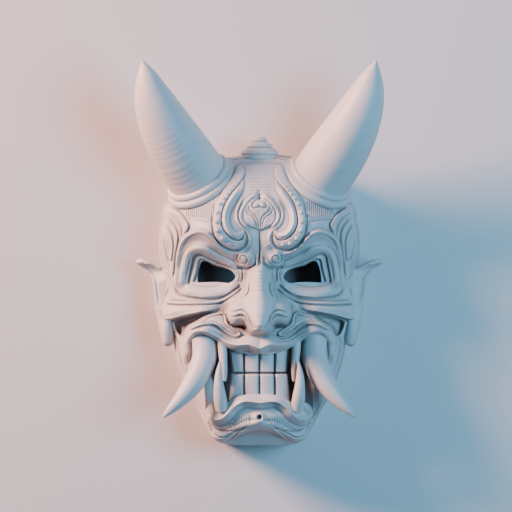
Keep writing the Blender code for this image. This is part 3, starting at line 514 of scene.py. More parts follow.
MOUTH = [
    plate(MOUSTACHE, 1.7, 0.7, rim=1.1),
    crest(((56.5, -59.4), (50, -58.8), (45, -57), (41, -56.2), (37, -56.2), (34.4, -57), (31.8, -58.6),
           (29, -60.9), (26, -63), (23, -65), (20, -66.1), (17.5, -66.1), (14.6, -65.1), (13, -62.8),
           (13.6, -60.4)), -2.0, 0.9, 2.0, power=1.1, ends=(0.1, 0.15)),
    mound((0, -69), (30, 20), 9),
    mound((46, -60), (20, 12), 9),
    roll(UPPER_LIP, 5.5, 7, ends=(0, 0.12)),
    ledge(UPPER_LIP, 2.4, 3, 7, 8, face=5.5, ends=(0, 0.1)),
    crest(((6, -66), (10, -67.6), (15, -68.3), (20, -68), (25, -66.4), (30, -63.6), (35, -60.6), (39, -58.9)),
          -0.8, 1.0, 1.0, power=1.0, ends=(0.3, 0.3)),
    ledge(LOWER_LIP, 8.5, 0, 16, 6, face=5.5, ends=(0, 0.12)),
    mound((0, -129), (44, 14), 8),
    roll(((-9, -111.6), (0, -112.6), (9, -111.6), (17, -113.6), (24, -118.4), (30, -123), (35, -123.6),
          (39.6, -122.4)), 1.2, 4.0, ends=(0, 0.1)),
    crest(((52.8, -66), (53.2, -72), (53.6, -78), (53.6, -86)), -1.0, 1.2, 1.2, power=1.0, ends=(0.2, 0.2)),
]

NOSE_LINES = [
    *lines(crest, (((23.2, -44.8), (20.5, -45.3), (18, -44.4), (15, -43.6), (12, -44), (9.8, -45.8),
                    (8.3, -48.5), (7, -52), (5.5, -54.7), (3.6, -57), (1.8, -58.8)), ((23.2, -48.2),
                                                                                      (21, -49.2),
                                                                                      (19, -49.1),
                                                                                      (16.5, -48.1),
                                                                                      (14, -47.7),
                                                                                      (12, -48.2),
                                                                                      (10.3, -49.6),
                                                                                      (9, -52),
                                                                                      (7.4, -54.4),
                                                                                      (5.2, -57),
                                                                                      (3, -59.2))), -1.9,
           1.1, 1.1, power=1.0, ends=(0.1, 0.12)),
    roll(((22.5, -46.8), (19, -46.8), (15.5, -45.7), (12, -46.1), (9.3, -48.8), (7.8, -52.5), (5.4, -56)),
         1.0, 1.3, ends=(0.15, 0.2)),
    *lines(crest, (((11.6, -23), (11.2, -26), (11.6, -29.5), (13.2, -33), (14.4, -35.5)),
                   ((9.6, -21.5), (8, -24), (7.9, -27.5), (9.3, -31), (11.8, -34))),
           -1.2, 0.9, 0.9, power=1.0, ends=(0.2, 0.12)),
    roll(((10.6, -22.3), (9.5, -25), (9.7, -28), (11, -31.3), (13.4, -35)), 2.1, 1.5, ends=(0.12, 0.3)),
    ledge(((21.5, -37.8), (23.7, -41.5), (25, -45.5), (25.3, -49), (24.3, -52.6), (22, -55.4)), 0.0, 1.6,
          2, 4, face=1.4, ends=(0.3, 0.15)),
]

CHIN_CREASE = ((37, -136.4), (35, -137), (32, -138), (28, -138.5), (24, -138.7), (20, -138.3), (16, -137),
               (12, -135.5), (8, -134))
CHIN_FOLD = ((38, -139.6), (35, -141.5), (32, -143.5), (30, -143.8), (27, -143.3), (24, -141.5), (20, -139.5),
             (15, -137), (8, -134.6), (0, -133.6))
CHIN = [
    mound((0, -127.5), (8, 7.5), 3.6),
    roll([(3.1 * cos(a), -127 + 3.1 * sin(a)) for a in np.radians(np.arange(-90, 91, 15))], 0.8, 1.0,
         ends=(0, 0)),
    mound((0, -127), (2.5, 2.5), -9),
    roll(CHIN_FOLD, 5.5, 5, ends=(0.2, 0)),
    crest(CHIN_CREASE, -1.8, 1.2, 1.2, power=1.0, ends=(0.15, 0.15)),
    crest(CHIN_FOLD[:8], -1.6, 1.2, 1.2, power=1.0, ends=(0.2, 0.2)),
    ledge(((26, -148.6), (22, -146), (18, -142.5), (15, -139.5), (10, -136.5)), 1.4, 0.6, 4, 3, face=1.0,
          ends=(0.1, 0.1)),
    crest(((39.8, -127.6), (39.2, -130), (38.4, -134), (37.6, -137), (36.6, -140.5)), -1.8, 1.3, 1.6,
          power=1.0, ends=(0.08, 0.1)),
    ledge(((52, -112.5), (48, -119), (45, -125), (42, -130), (40, -135)), 0.4, 1.4, 3, 3, face=1.0,
          ends=(0.05, 0.1)),
]
JAW = [
    crest(((65, -65), (64.5, -70), (63.5, -75), (62.3, -80), (61, -86), (59.5, -91), (58, -96)), -1.6,
          1.2, 1.6, power=1.0, ends=(0.08, 0.1)),
    ledge(((58, -66.5), (58.4, -72), (57.6, -80), (56, -88)), 1.4, 0, 4, 3, face=1.0, ends=(0.15, 0.2)),
]

RELIEFS = EYE + CROWN + [scroll()] + TEMPLE + CHEEK + MOUTH + NOSE_LINES + CHIN + JAW


def skin_height(at, outline):
    """Height of the carved front of the mask."""
    height = plain_face(at, outline, 0, 0)
    for relief in RELIEFS:
        if relief not in NOSE_LINES:
            height = height + relief.rise(at)
    height = blend_over(height + nose_ridge(at), nose_wing(at), NOSE_BLEND) + NOSTRIL.rise(at)
    for relief in NOSE_LINES:
        height = height + relief.rise(at)
    return height


def hollow_height(at, inner_outline, outline):
    """Height of the smooth hollow behind the face."""
    height = plain_face(at, inner_outline, HOLLOW_SINK, HOLLOW_EDGE_DROP) + nose_ridge(at, shrink=WALL)
    height = blend_over(height, nose_wing(at, shrink=WALL), NOSE_BLEND)
    for angle in np.arange(8) * pi / 4:
        around = at + WALL_PROBE * np.array([cos(angle), sin(angle)])
        height = np.minimum(height, skin_height(around, outline) - LEAST_WALL)
    return height


# Meshes from flat triangles

def spread_points(ring, pitch):
    """A triangular lattice of points inside a ring, away from its edge."""
    low, high = ring.min(0), ring.max(0)
    rows = np.arange(low[1], high[1], pitch * sin(pi / 3))
    columns = np.arange(low[0], high[0] + pitch, pitch)
    points = np.array([(u + (row % 2) * pitch / 2, v) for row, v in enumerate(rows) for u in columns])
    points = points[inside(ring, points)]
    return points[np.abs(distance_to(closed(ring), points)[0]) > pitch * EDGE_CLEARANCE]


def kept_inside(line, rings, holes):
    """The runs of a guide line that stay clear of every ring, with ends near the middle line put on it."""
    line = line[line[:, 0] > -MIDDLE_SNAP]
    line = np.where(line[:, :1] < MIDDLE_SNAP, line * (0, 1), line)
    keep = inside(rings[0], line + (1e-6, 0)) | (line[:, 0] == 0)
    for ring in rings + holes:
        keep &= np.abs(distance_to(closed(ring), line)[0]) > RING_CLEARANCE
    for hole in holes:
        keep &= ~inside(hole, line)
    runs = np.split(np.arange(len(line)), np.flatnonzero(np.diff(keep.astype(int)) != 0) + 1)
    return [line[run] for run in runs if len(run) > 2 and keep[run[0]]]


def triangulate(ring, holes, guides, pitch):
    """Flat points and triples of them that fill a ring, leave its holes open and follow the guides."""
    lattice = spread_points(ring, pitch)
    for hole in holes:
        lattice = lattice[~inside(hole, lattice)]
        lattice = lattice[np.abs(distance_to(closed(hole), lattice)[0]) > pitch * EDGE_CLEARANCE]
    for line in guides:
        low, high = line.min(0) - pitch, line.max(0) + pitch
        near = np.flatnonzero(((lattice > low) & (lattice < high)).all(1))
        if len(near):
            close = near[np.abs(distance_to(line, lattice[near])[0]) < pitch * GUIDE_CLEARANCE]
            lattice = np.delete(lattice, close, axis=0)
    points, edges = [], []
    for loop in [ring] + holes:
        edges += [(len(points) + i, len(points) + (i + 1) % len(loop)) for i in range(len(loop))]
        points += loop.tolist()
    for line in guides:
        edges += [(len(points) + i, len(points) + i + 1) for i in range(len(line) - 1)]
        points += line.tolist()
    points += lattice.tolist()
    flat, _, faces, *_ = delaunay_2d_cdt([Vector(point) for point in points], edges, [], 0, MERGE_NEAR)
    flat = np.array([tuple(point) for point in flat])
    faces = np.array([tuple(face) for face in faces])
    middles = flat[faces].mean(1)
    kept = inside(ring, middles)
    for hole in holes:
        kept &= ~inside(hole, middles)
    used, faces = np.unique(faces[kept], return_inverse=True)
    return flat[used], faces.reshape(-1, 3)


def place_of(flat, ring):
    """The index in the flat points of each point of a ring."""
    order = []
    for part in np.array_split(ring, max(1, len(ring) * len(flat) // 4000000)):
        order.append(np.square(part[:, None] - flat).sum(-1).argmin(1))
    return np.concatenate(order)


def put_in_scene(name, data):
    made = bpy.data.objects.new(name, data)
    bpy.context.scene.collection.objects.link(made)
    return made


def mesh_object(name, corners, faces, smooth_angle=40):
    """An object in the scene from corner points in millimetres, shaded smooth between its sharp edges."""
    mesh = bpy.data.meshes.new(name)
    spots = (np.asarray(corners, float) * MM).tolist()
    mesh.from_pydata(spots, [], [[int(i) for i in face] for face in faces])
    made = put_in_scene(name, mesh)
    mesh.shade_smooth()
    mesh.set_sharp_from_angle(angle=radians(smooth_angle))
    return made


def face_outwards(made):
    """Merges doubled points and turns all faces of a closed mesh to point out."""
    shell = bmesh.new()
    shell.from_mesh(made.data)
    bmesh.ops.remove_doubles(shell, verts=shell.verts, dist=1e-6)
    bmesh.ops.recalc_face_normals(shell, faces=shell.faces)
    shell.to_mesh(made.data)
    shell.free()


def mirrored_shell(name, corners, faces):
    """A half shell and its mirror image, sharing the points on the middle line."""
    middle = np.abs(corners[:, 0]) < ON_MIDDLE
    corners = np.where(middle[:, None], corners * (0, 1, 1), corners)
    twin = np.where(middle, np.arange(len(corners)), len(corners) + np.cumsum(~middle) - 1)
    whole = np.concatenate([corners, corners[~middle] * (-1, 1, 1)])
    both = [list(face) for face in faces] + [[int(twin[i]) for i in face][::-1] for face in faces]
    return mesh_object(name, whole, both)


# The face: one shell from the carved front round the rim into the hollow

def face_rings(step):
    """The half outline closed along the middle line, with the mouth as a notch, for front and back."""
    outline = smooth_line(HEAD_OUTLINE, step)
    mouth = joined(MOUTH_STROKES, step)
    eye = joined(EYE_STROKES, step)[:-1]

    def up_middle(low, high):
        count = ceil((high - low) / step)
        return np.column_stack([np.zeros(count - 1), np.linspace(low, high, count + 1)[1:-1]])

    below = up_middle(outline[-1, 1], mouth[-1, 1])
    above = up_middle(mouth[0, 1], outline[0, 1])
    ring = np.concatenate([outline, below, mouth[::-1], above])
    narrowed = mouth[::-1] * (1 - MOUTH_NARROWING, 1)
    back_ring = np.concatenate([outline, below, narrowed, above])
    walls = [np.arange(len(outline)), len(outline) + len(below) + np.arange(len(mouth))]
    return outline, ring, back_ring, eye, walls


OUTER_WALL_ROWS = ((0.92, 0.55), (0.72, 1.15), (0.45, 1.35), (0.2, 1.1), (0.06, 0.7))
RIM_BEVEL = 0.7
LOWEST = -150.1


def face_skin():
    outline, ring, back_ring, eye, walls = face_rings(EDGE_STEP)
    guides = [line for relief in RELIEFS + [NOSTRIL] for line in relief.guides]
    guides = [run for line in guides for run in kept_inside(line, [ring], [eye])]
    flat, faces = triangulate(ring, [eye], guides, SKIN_PITCH)
    front = np.column_stack([flat, skin_height(flat, outline)])

    inner = beside(smooth_line(HEAD_OUTLINE, BACK_PITCH / 2), -WALL)
    inner_foot = beside(inner, -RIM_BEVEL)
    rim_lines = [run for line in (inner, inner_foot) for run in kept_inside(line, [back_ring], [eye])]
    back_flat, back_faces = triangulate(back_ring, [eye], rim_lines, BACK_PITCH)
    depth = hollow_height(back_flat, inner, outline)
    from_edge = np.abs(distance_to(outline, back_flat)[0])
    depth = np.where(from_edge < WALL + RIM_BEVEL / 2, 0, depth)
    back = np.column_stack([back_flat, depth])

    corners, all_faces = [front, back], [*faces, *(back_faces[:, ::-1] + len(front))]
    total = len(front) + len(back)
    ring_front, ring_back = place_of(flat, ring), place_of(back_flat, back_ring) + len(front)
    eye_front, eye_back = place_of(flat, eye), place_of(back_flat, eye) + len(front)

    outer_front, outer_back = ring_front[walls[0]], ring_back[walls[0]]
    rows = [outer_front]
    edge = front[outer_front]
    for share, bulge in OUTER_WALL_ROWS:
        spots = beside(edge[:, :2], bulge)
        spots[[0, -1], 0] = 0
        spots[:, 1] = np.maximum(spots[:, 1], LOWEST)
        corners.append(np.column_stack([spots, edge[:, 2] * share]))
        rows.append(total + np.arange(len(edge)))
        total += len(edge)
    rows.append(outer_back)
    for high, low in zip(rows, rows[1:]):
        all_faces += [(high[i + 1], high[i], low[i], low[i + 1]) for i in range(len(high) - 1)]
    mouth_front, mouth_back = ring_front[walls[1]], ring_back[walls[1]]
    all_faces += [(mouth_front[i + 1], mouth_front[i], mouth_back[i], mouth_back[i + 1])
                  for i in range(len(mouth_front) - 1)]
    count = len(eye)
    all_faces += [(eye_front[i], eye_front[(i + 1) % count], eye_back[(i + 1) % count], eye_back[i])
                  for i in range(count)]
    made = mirrored_shell("face_skin", np.concatenate(corners), all_faces)
    face_outwards(made)
    return made


# Round pieces

def frame_along(path):
    """The direction of a path at each point, and two square directions that don't twist along it."""
    ahead = np.gradient(path, axis=0)
    ahead /= np.linalg.norm(ahead, axis=1)[:, None]
    side = np.cross(ahead, (0, 0, 1.0))
    side /= np.linalg.norm(side, axis=1)[:, None]
    return ahead, side, np.cross(side, ahead)


def swept(name, path, radii, sides):
    """A round solid along a path, with its own radius at each point."""
    _, side, lift = frame_along(path)
    turns = np.arange(sides) * 2 * pi / sides
    rings = [point + radius * (np.outer(np.cos(turns), a) + np.outer(np.sin(turns), b))
             for point, radius, a, b in zip(path, radii, side, lift)]
    ring = [(i, (i + 1) % sides, sides + (i + 1) % sides, sides + i) for i in range(sides)]
    faces = [[corner + r * sides for corner in quad] for r in range(len(rings) - 1) for quad in ring]
    faces += [tuple(range(sides))[::-1], tuple(range((len(rings) - 1) * sides, len(rings) * sides))]
    made = mesh_object(name, np.concatenate(rings), faces)
    face_outwards(made)
    return made


TIP_TURN = 0.96


def rounded_tip(line, steps=6):
    """A (u, v, height, radius) run with its end drawn out into a small dome."""
    end, ahead = line[-1], line[-1, :3] - line[-2, :3]
    ahead = ahead / np.linalg.norm(ahead)
    angles = np.linspace(0, pi / 2, steps + 1)[1:] * TIP_TURN
    dome = [[*(end[:3] + ahead * end[3] * sin(a)), end[3] * cos(a)] for a in angles]
    return np.concatenate([line, dome])


def turned(name, profile, centre, axis, sides):
    """A solid turned round an axis from (radius, height) points that start and end on the axis."""
    aim = np.array(Vector(axis).to_track_quat("Z", "Y").to_matrix())
    turns = np.arange(sides) * 2 * pi / sides
    profile = np.array(profile, float)
    corners = [[0, 0, profile[0, 1]]]
    for radius, height in profile[1:-1]:
        corners += [[radius * cos(a), radius * sin(a), height] for a in turns]
    corners.append([0, 0, profile[-1, 1]])
    rows = len(profile) - 2
    last = len(corners) - 1
    faces = [(0, 1 + (i + 1) % sides, 1 + i) for i in range(sides)]
    for row in range(rows - 1):
        start = 1 + row * sides
        faces += [(start + i, start + (i + 1) % sides, start + sides + (i + 1) % sides, start + sides + i)
                  for i in range(sides)]
    start = 1 + (rows - 1) * sides
    faces += [(start + i, start + (i + 1) % sides, last) for i in range(sides)]
    made = mesh_object(name, np.array(corners) @ aim.T + np.array(centre), faces)
    face_outwards(made)
    return made


def arc(radius, height, bead, start, end, points):
    """Points of a bead's outline, from its middle, its own radius and the angles where it starts and ends."""
    angles = np.radians(np.linspace(start, end, points))
    return [(radius + bead * cos(a), height + bead * sin(a)) for a in angles]


# Tusks, fangs and horns as (u, v, height, radius) along their middle
UPPER_FANG = ((29.2, -66, 63, 3.5), (28.6, -76, 64, 3.4), (27.8, -86, 65, 2.9), (27.2, -93, 65, 2.3),
              (27, -98.2, 65, 1.5))
LOWER_FANG = ((29.4, -121, 65, 5), (30.6, -112, 69, 5), (31.4, -104, 71, 4.1), (31.7, -97, 71.5, 3.2),
              (31.2, -90, 71.5, 2.1), (30.5, -84, 71, 0.7))
TUSK = ((43.4, -57.5, 54, 9.2), (43, -68, 55, 9.7), (42.7, -79, 58, 9.5), (45.3, -89, 61.5, 9.3),
        (50, -98.5, 64.5, 8.6), (56.3, -107.5, 66.5, 7.2), (63.5, -115.8, 68, 5.2), (69.7, -122, 68.5, 3.3),
        (73.6, -126, 68.5, 1.5))
HORN = ((49.3, 61.8, 42, 24.2), (61.5, 79.6, 53.1, 23.3), (74.1, 101.3, 64, 20.1), (83.6, 124, 72.3, 14),
        (87.7, 139, 76.5, 7.6), (90.2, 148.6, 78.6, 1.3))
SIDES = (("left", -1), ("right", 1))
ROUND_STEP = 1.2
TUSK_SIDES = 72
FANG_SIDES = 40
HORN_SIDES = 120
HORN_SEAT_DEPTH = 4.7
RING_SPACING = 5.0
RING_HEIGHT = 0.25
RINGS_START = 6
RINGS_FADE = 0.3
RINGS_REACH = 0.72


def horn_axis():
    out, lean = radians(HORN_OUTWARD), radians(HORN_FORWARD)
    return np.array([cos(lean) * cos(out), cos(lean) * sin(out), sin(lean)])


def round_tooth(name, middle, side, sides):
    line = rounded_tip(smooth_line(middle, ROUND_STEP))
    return swept(name, line[:, :3] * (side, 1, 1), line[:, 3], sides)


def horn(name, side):
    """A horn with soft growth rings that fade towards its tip."""
    line = smooth_line(HORN, ROUND_STEP)
    along = np.concatenate([[0], np.cumsum(np.linalg.norm(np.diff(line[:, :3], axis=0), axis=1))])
    wave = (along / RING_SPACING + 0.25 * np.sin(along / 7.3) + 0.16 * np.sin(along / 2.9)) % 1
    swell = np.where(wave < 0.8, wave / 0.8, (1 - wave) / 0.2)
    fade_out = smooth_step((along / along[-1] - RINGS_FADE) / (RINGS_REACH - RINGS_FADE))
    fade = smooth_step(along / RINGS_START) * (1 - fade_out)
    line[:, 3] -= RING_HEIGHT * fade * (1 - swell)
    foot = np.array([*(np.array(HORN_SEAT) - HORN_SEAT_DEPTH * horn_axis()), HORN_RADIUS])
    line = rounded_tip(np.concatenate([[foot], line]))
    return swept(name, line[:, :3] * (side, 1, 1), line[:, 3], HORN_SIDES)


# The place of each bead's middle, its radius, the angles where it starts and ends, and its number of points
COLLAR_BEADS = ((26.6, -8.0, 3.0, -70, 68, 14), (24.1, -2.8, 3.0, -32, 128, 16))
COLLAR_SIDES = 128


def collar(name, side):
    """Two stacked beads round the foot of a horn."""
    profile = [(0, -15), (24, -15), (25.4, -11.6)]
    for bead in COLLAR_BEADS:
        profile += arc(*bead)
    profile += [(24.35, -0.9), (24.35, -3.0), (0, -3.0)]
    return turned(name, profile, np.array(HORN_SEAT) * (side, 1, 1), horn_axis() * (side, 1, 1), COLLAR_SIDES)


KNOB_FOOT = (0, 74, 26)
KNOB_SIDES = 96
KNOB_TIERS = (((15.0, 0), (15.5, 1.6), (15.2, 3), (14.1, 3.7)),
              ((14.1, 3.7), (15.0, 4.6), (14.8, 6), (13.4, 7.8), (11.5, 9), (9.8, 9.5)),
              ((9.8, 9.5), (10.7, 10.3), (10.3, 11.6), (8.9, 13), (7.2, 13.8), (5.8, 14.2)),
              ((5.8, 14.2), (6.6, 14.9), (6.2, 16.2), (4.7, 17.7), (2.4, 18.8), (0, 19.2)))


def knob():
    """A cone in rounded tiers on top of the crown, each smaller than the one below."""
    profile = np.concatenate([[(0, 0)], joined(KNOB_TIERS, 0.6)])
    profile[-1, 0] = 0
    return turned("crown_knob", profile, KNOB_FOOT, (0, 1, 0), KNOB_SIDES)


# Flat pieces with rounded edges: teeth and ears

def pillow(name, ring, pitch, front, back, edge, side, guides=()):
    """A closed piece over a flat ring whose front and back run together in a rounded edge.

    A triangle with all its corners on the rim would have no thickness, so it is left out.
    """
    runs = [run for line in guides for run in kept_inside(line, [ring], [])]
    rounding = beside(closed(ring), edge * 0.45)[:-1]
    runs += kept_inside(closed(rounding), [ring], [])
    flat, faces = triangulate(ring, [], runs, pitch)
    gap = np.abs(distance_to(closed(ring), flat)[0])
    share = np.sqrt(1 - (1 - np.clip(gap / edge, 0, 1)) ** 2)
    high, low = front(flat), back(flat)
    middle = (high + low) / 2
    top, bottom = middle + (high - middle) * share, middle + (low - middle) * share
    rim = gap < ON_RIM
    faces = faces[~rim[faces].all(1)]
    under = np.where(rim, 0, len(flat)) + np.arange(len(flat))
    corners = np.concatenate([np.column_stack([flat, top]), np.column_stack([flat, bottom])]) * (side, 1, 1)
    all_faces = [*faces, *under[faces][:, ::-1]]
    used, packed = np.unique(np.array(all_faces), return_inverse=True)
    made = mesh_object(name, corners[used], packed.reshape(-1, 3))
    face_outwards(made)
    return made


UPPER_TEETH = (((0.3, -72), (0.3, -92.9), (11.5, -92.9), (11.8, -72)),
               ((12.4, -69), (12.2, -92.9), (21.2, -93), (24.2, -69)))
LOWER_TEETH = (((0.3, -113), (11.7, -113), (11.5, -93.6), (0.3, -93.6)),
               ((12.3, -115), (24, -115), (22, -93.5), (12.1, -93.5)))
TOOTH_FRONTS = {"upper": 62.0, "lower": 65.5}
TOOTH_DEPTH = 10.0
TOOTH_ROW_CURVE = 0.008
TOOTH_EDGE = 1.5
TOOTH_CORNER = 1.3
TOOTH_RIB_PITCH = 1.9
TOOTH_RIB_HEIGHT = 0.13
TOOTH_BELLY = 0.9
TOOTH_BELLY_HALF = 6


def rounded_ring(corners, radius, step):
    """A ring through corners, anticlockwise, each rounded by an arc that touches both its sides."""
    corners = np.array(corners, float)
    points = []
    for before, corner, after in zip(np.roll(corners, 1, 0), corners, np.roll(corners, -1, 0)):
        back, on = before - corner, after - corner
        back, on = back / np.linalg.norm(back), on / np.linalg.norm(on)
        bend = np.array([corner + radius * (back * (1 - t) ** 2 + on * t**2) for t in np.linspace(0, 1, 6)])
        points.append(bend)
    ring = np.concatenate(points)
    spaced = [ring[0]]
    for start, end in zip(ring, np.roll(ring, -1, 0)):
        count = max(1, ceil(np.linalg.norm(end - start) / step))
        spaced += [start + (end - start) * (i + 1) / count for i in range(count)]
    return np.array(spaced[:-1])


def tooth(name, corners, side, row):
    """A block tooth with rounded edges and faint ribs down its front."""
    ring = rounded_ring(corners, TOOTH_CORNER, 0.8)
    middle = np.mean(corners, axis=0)

    def front(at):
        ribs = TOOTH_RIB_HEIGHT * np.cos(2 * pi * (at[:, 0] - middle[0]) / TOOTH_RIB_PITCH)
        belly = TOOTH_BELLY * (1 - ((at[:, 0] - middle[0]) / TOOTH_BELLY_HALF) ** 2)
        return TOOTH_FRONTS[row] - TOOTH_ROW_CURVE * at[:, 0] ** 2 + belly + ribs

    def back(at):
        return TOOTH_FRONTS[row] - TOOTH_DEPTH - TOOTH_ROW_CURVE * at[:, 0] ** 2

    return pillow(name, ring, 0.75, front, back, TOOTH_EDGE, side)


EAR_STROKES = (((70, -13), (77, -10.5), (80, -9), (85, -6.2), (90, -4.5), (94, -4), (96.6, -4.6),
                (97.7, -5.8)), ((97.7, -5.8), (97.2, -7.6), (95, -9), (92, -11), (89, -13.5),
                                (86.5, -16.5), (85, -20), (84, -24), (83.5, -28), (83, -33), (82.7, -38),
                                (82, -44), (80.8, -50), (79.8, -55), (78.8, -60), (77.5, -65),
                                (76.8, -69), (75.5, -71.5), (73, -73), (70.5, -72.8), (68, -71.2)),
               ((68, -71.2), (67.5, -66), (68.4, -58), (70, -45), (70, -13)))
EAR_ROOT_HEIGHT = 34.0
EAR_SLOPE = 0.3
EAR_THICKNESS = 8.0
EAR_EDGE = 3.6
EAR_SCOOP = mound((84, -14.5), (15, 9), -4.6)
EAR_LOBE = mound((74.5, -62), (7, 14), 2.6)
EAR_FOLD = crest(((96, -7.4), (92, -9), (88, -12), (85, -15.5), (82.3, -19), (80.8, -26), (79.6, -36),
                  (78, -47)), -2.4, 2.2, 1.2, power=1.1, ends=(0.1, 0.3))
EAR_HELIX = roll(((76, -12.6), (80, -10.6), (84, -8.6), (90, -6.6), (95, -6)), 2.2, 2.4)


def ear(name, side):
    ring = joined(EAR_STROKES, 1.0)[:-1][::-1]
    carving = (EAR_SCOOP, EAR_LOBE, EAR_FOLD, EAR_HELIX)

    def front(at):
        height = EAR_ROOT_HEIGHT - EAR_SLOPE * (at[:, 0] - FACE_HALF_WIDTH)
        return height + sum(relief.rise(at) for relief in carving)

    def back(at):
        return EAR_ROOT_HEIGHT - EAR_SLOPE * (at[:, 0] - FACE_HALF_WIDTH) - EAR_THICKNESS

    guides = [line for relief in carving for line in relief.guides]
    return pillow(name, ring, 1.3, front, back, EAR_EDGE, side, guides)


# Ribs and beads that repeat along a path, grown on the skin

def on_skin(points, sink=0.0):
    """Flat points lifted to the skin, or a little below it."""
    points = np.array(points, float)
    outline = smooth_line(HEAD_OUTLINE, EDGE_STEP)
    height = skin_height(np.column_stack([np.abs(points[:, 0]), points[:, 1]]), outline)
    return np.column_stack([points, height - sink])


def carrier_object(name, spots, edges, shares):
    """Loose points and edges, each point with a share that scales what is grown on it."""
    mesh = bpy.data.meshes.new(name)
    mesh.from_pydata((np.array(spots) * MM).tolist(), edges, [])
    mesh.attributes.new("share", "FLOAT", "POINT").data.foreach_set("value", np.array(shares, np.float32))
    return put_in_scene(name, mesh)


THINNEST = 0.25


def strands_object(name, strands, taper):
    """Runs of points as loose edges. A rib thins towards its ends over the given share of its length."""
    corners, edges, shares = [], [], []
    for strand in strands:
        edges += [(len(corners) + i, len(corners) + i + 1) for i in range(len(strand) - 1)]
        place = np.linspace(0, 1, len(strand))
        full = smooth_step(np.minimum(place, 1 - place) / taper)
        shares += (THINNEST + (1 - THINNEST) * full).tolist()
        corners += strand.tolist()
    return carrier_object(name, corners, edges, shares)


def add(tree, kind, values=(), **settings):
    """A new node with its settings, and with values on some of its inputs."""
    made = tree.nodes.new(kind)
    for word, value in settings.items():
        setattr(made, word, value)
    for word, value in values:
        made.inputs[word].default_value = value
    return made


def wire(tree, *links):
    """Links nodes, each link given as a node, its output, the next node and its input."""
    for start, leaves, end, enters in links:
        tree.links.new(start.outputs[leaves], end.inputs[enters])


def new_tree(name, sizes):
    """An empty geometry tree with named inputs for its sizes and its material."""
    tree = bpy.data.node_groups.new(name, "GeometryNodeTree")
    for word, kind in (("Geometry", "Geometry"), *sizes, ("Material", "Material")):
        tree.interface.new_socket(word, in_out="INPUT", socket_type="NodeSocket" + kind)
    tree.interface.new_socket("Geometry", in_out="OUTPUT", socket_type="NodeSocketGeometry")
    return tree, add(tree, "NodeGroupInput"), add(tree, "NodeGroupOutput")


def finish_tree(tree, given, out, shape, word):
    """Ends a tree in real geometry, shaded smooth and with its material."""
    real = add(tree, "GeometryNodeRealizeInstances")
    smooth = add(tree, "GeometryNodeSetShadeSmooth")
    painted = add(tree, "GeometryNodeSetMaterial")
    wire(tree, (shape, word, real, "Geometry"), (real, "Geometry", smooth, "Geometry"),
         (smooth, "Geometry", painted, "Geometry"), (given, "Material", painted, "Material"),
         (painted, "Geometry", out, "Geometry"))
    return tree


def rib_tree():
    """Round ribs along strands, thinner where the strand's share is less."""
    tree, given, out = new_tree("ribs_along_strands", (("Radius", "Float"), ("Sides", "Int")))
    curve = add(tree, "GeometryNodeMeshToCurve")
    share = add(tree, "GeometryNodeInputNamedAttribute", [("Name", "share")], data_type="FLOAT")
    thick = add(tree, "GeometryNodeSetCurveRadius")
    profile = add(tree, "GeometryNodeCurvePrimitiveCircle")
    sweep = add(tree, "GeometryNodeCurveToMesh", [("Fill Caps", True)])
    wire(tree, (given, "Geometry", curve, "Mesh"), (curve, "Curve", thick, "Curve"),
         (share, "Attribute", thick, "Radius"), (given, "Sides", profile, "Resolution"),
         (given, "Radius", profile, "Radius"), (thick, "Curve", sweep, "Curve"),
         (profile, "Curve", sweep, "Profile Curve"))
    if "Scale" in sweep.inputs:
        wire(tree, (share, "Attribute", sweep, "Scale"))
    return finish_tree(tree, given, out, sweep, "Mesh")


def bead_tree():
    """A round bead on each point, as large as the point's share says."""
    tree, given, out = new_tree("beads_on_points", (("Radius", "Float"), ("Rings", "Int")))
    dots = add(tree, "GeometryNodeMeshToPoints")
    ball = add(tree, "GeometryNodeMeshUVSphere")
    place = add(tree, "GeometryNodeInstanceOnPoints")
    share = add(tree, "GeometryNodeInputNamedAttribute", [("Name", "share")], data_type="FLOAT")
    twice = add(tree, "ShaderNodeMath", [(1, 2)], operation="MULTIPLY")
    wire(tree, (given, "Geometry", dots, "Mesh"), (given, "Rings", ball, "Rings"), (given, "Rings", twice, 0),
         (twice, "Value", ball, "Segments"), (given, "Radius", ball, "Radius"),
         (dots, "Points", place, "Points"), (ball, "Mesh", place, "Instance"),
         (share, "Attribute", place, "Scale"))
    return finish_tree(tree, given, out, place, "Instances")


def grown(carrier, tree, **values):
    """Runs a geometry tree on its carrier and keeps the result as a plain mesh in the carrier's place."""
    modifier = carrier.modifiers.new("grow", "NODES")
    modifier.node_group = tree
    sockets = {item.name: item.identifier for item in tree.interface.items_tree if item.in_out == "INPUT"}
    for word, value in values.items():
        modifier[sockets[word]] = value
    bpy.context.view_layer.update()
    graph = bpy.context.evaluated_depsgraph_get()
    mesh = bpy.data.meshes.new_from_object(carrier.evaluated_get(graph))
    carrier.modifiers.remove(modifier)
    carrier.data = mesh
    return carrier


def both_sides(strands):
    return strands + [strand * (-1, 1, 1) for strand in strands]


def across(line, at):
    """The height of a line drawn outwards at a distance out from the middle."""
    order = np.argsort(np.array(line)[:, 0])
    return np.interp(at, *np.array(line, float)[order].T)


COLLAR_LOW_EDGE = ((35.7, 43.9), (40, 41), (47, 37.4), (50, 35.5), (55, 34.2), (58, 34))
COLLAR_RIB_FOOT = ((36, 22), (38.5, 24), (42, 25.6), (46, 26.6), (50, 26.7), (55, 27), (58.5, 29))
RIB_PITCH = 1.6
COLLAR_RIB_TUCK = 2.0
COLLAR_RIB_BOW = 0.5


def collar_ribs():
    """Upright ribs between each collar and the brow."""
    runs = []
    for u in np.arange(36.8, 58.5, RIB_PITCH):
        top, foot = across(COLLAR_LOW_EDGE, u) + COLLAR_RIB_TUCK, across(COLLAR_RIB_FOOT, u)
        runs.append(np.array([(u - COLLAR_RIB_BOW * sin(pi * t), top + (foot - top) * t)
                              for t in np.linspace(0, 1, 14)]))
    return runs


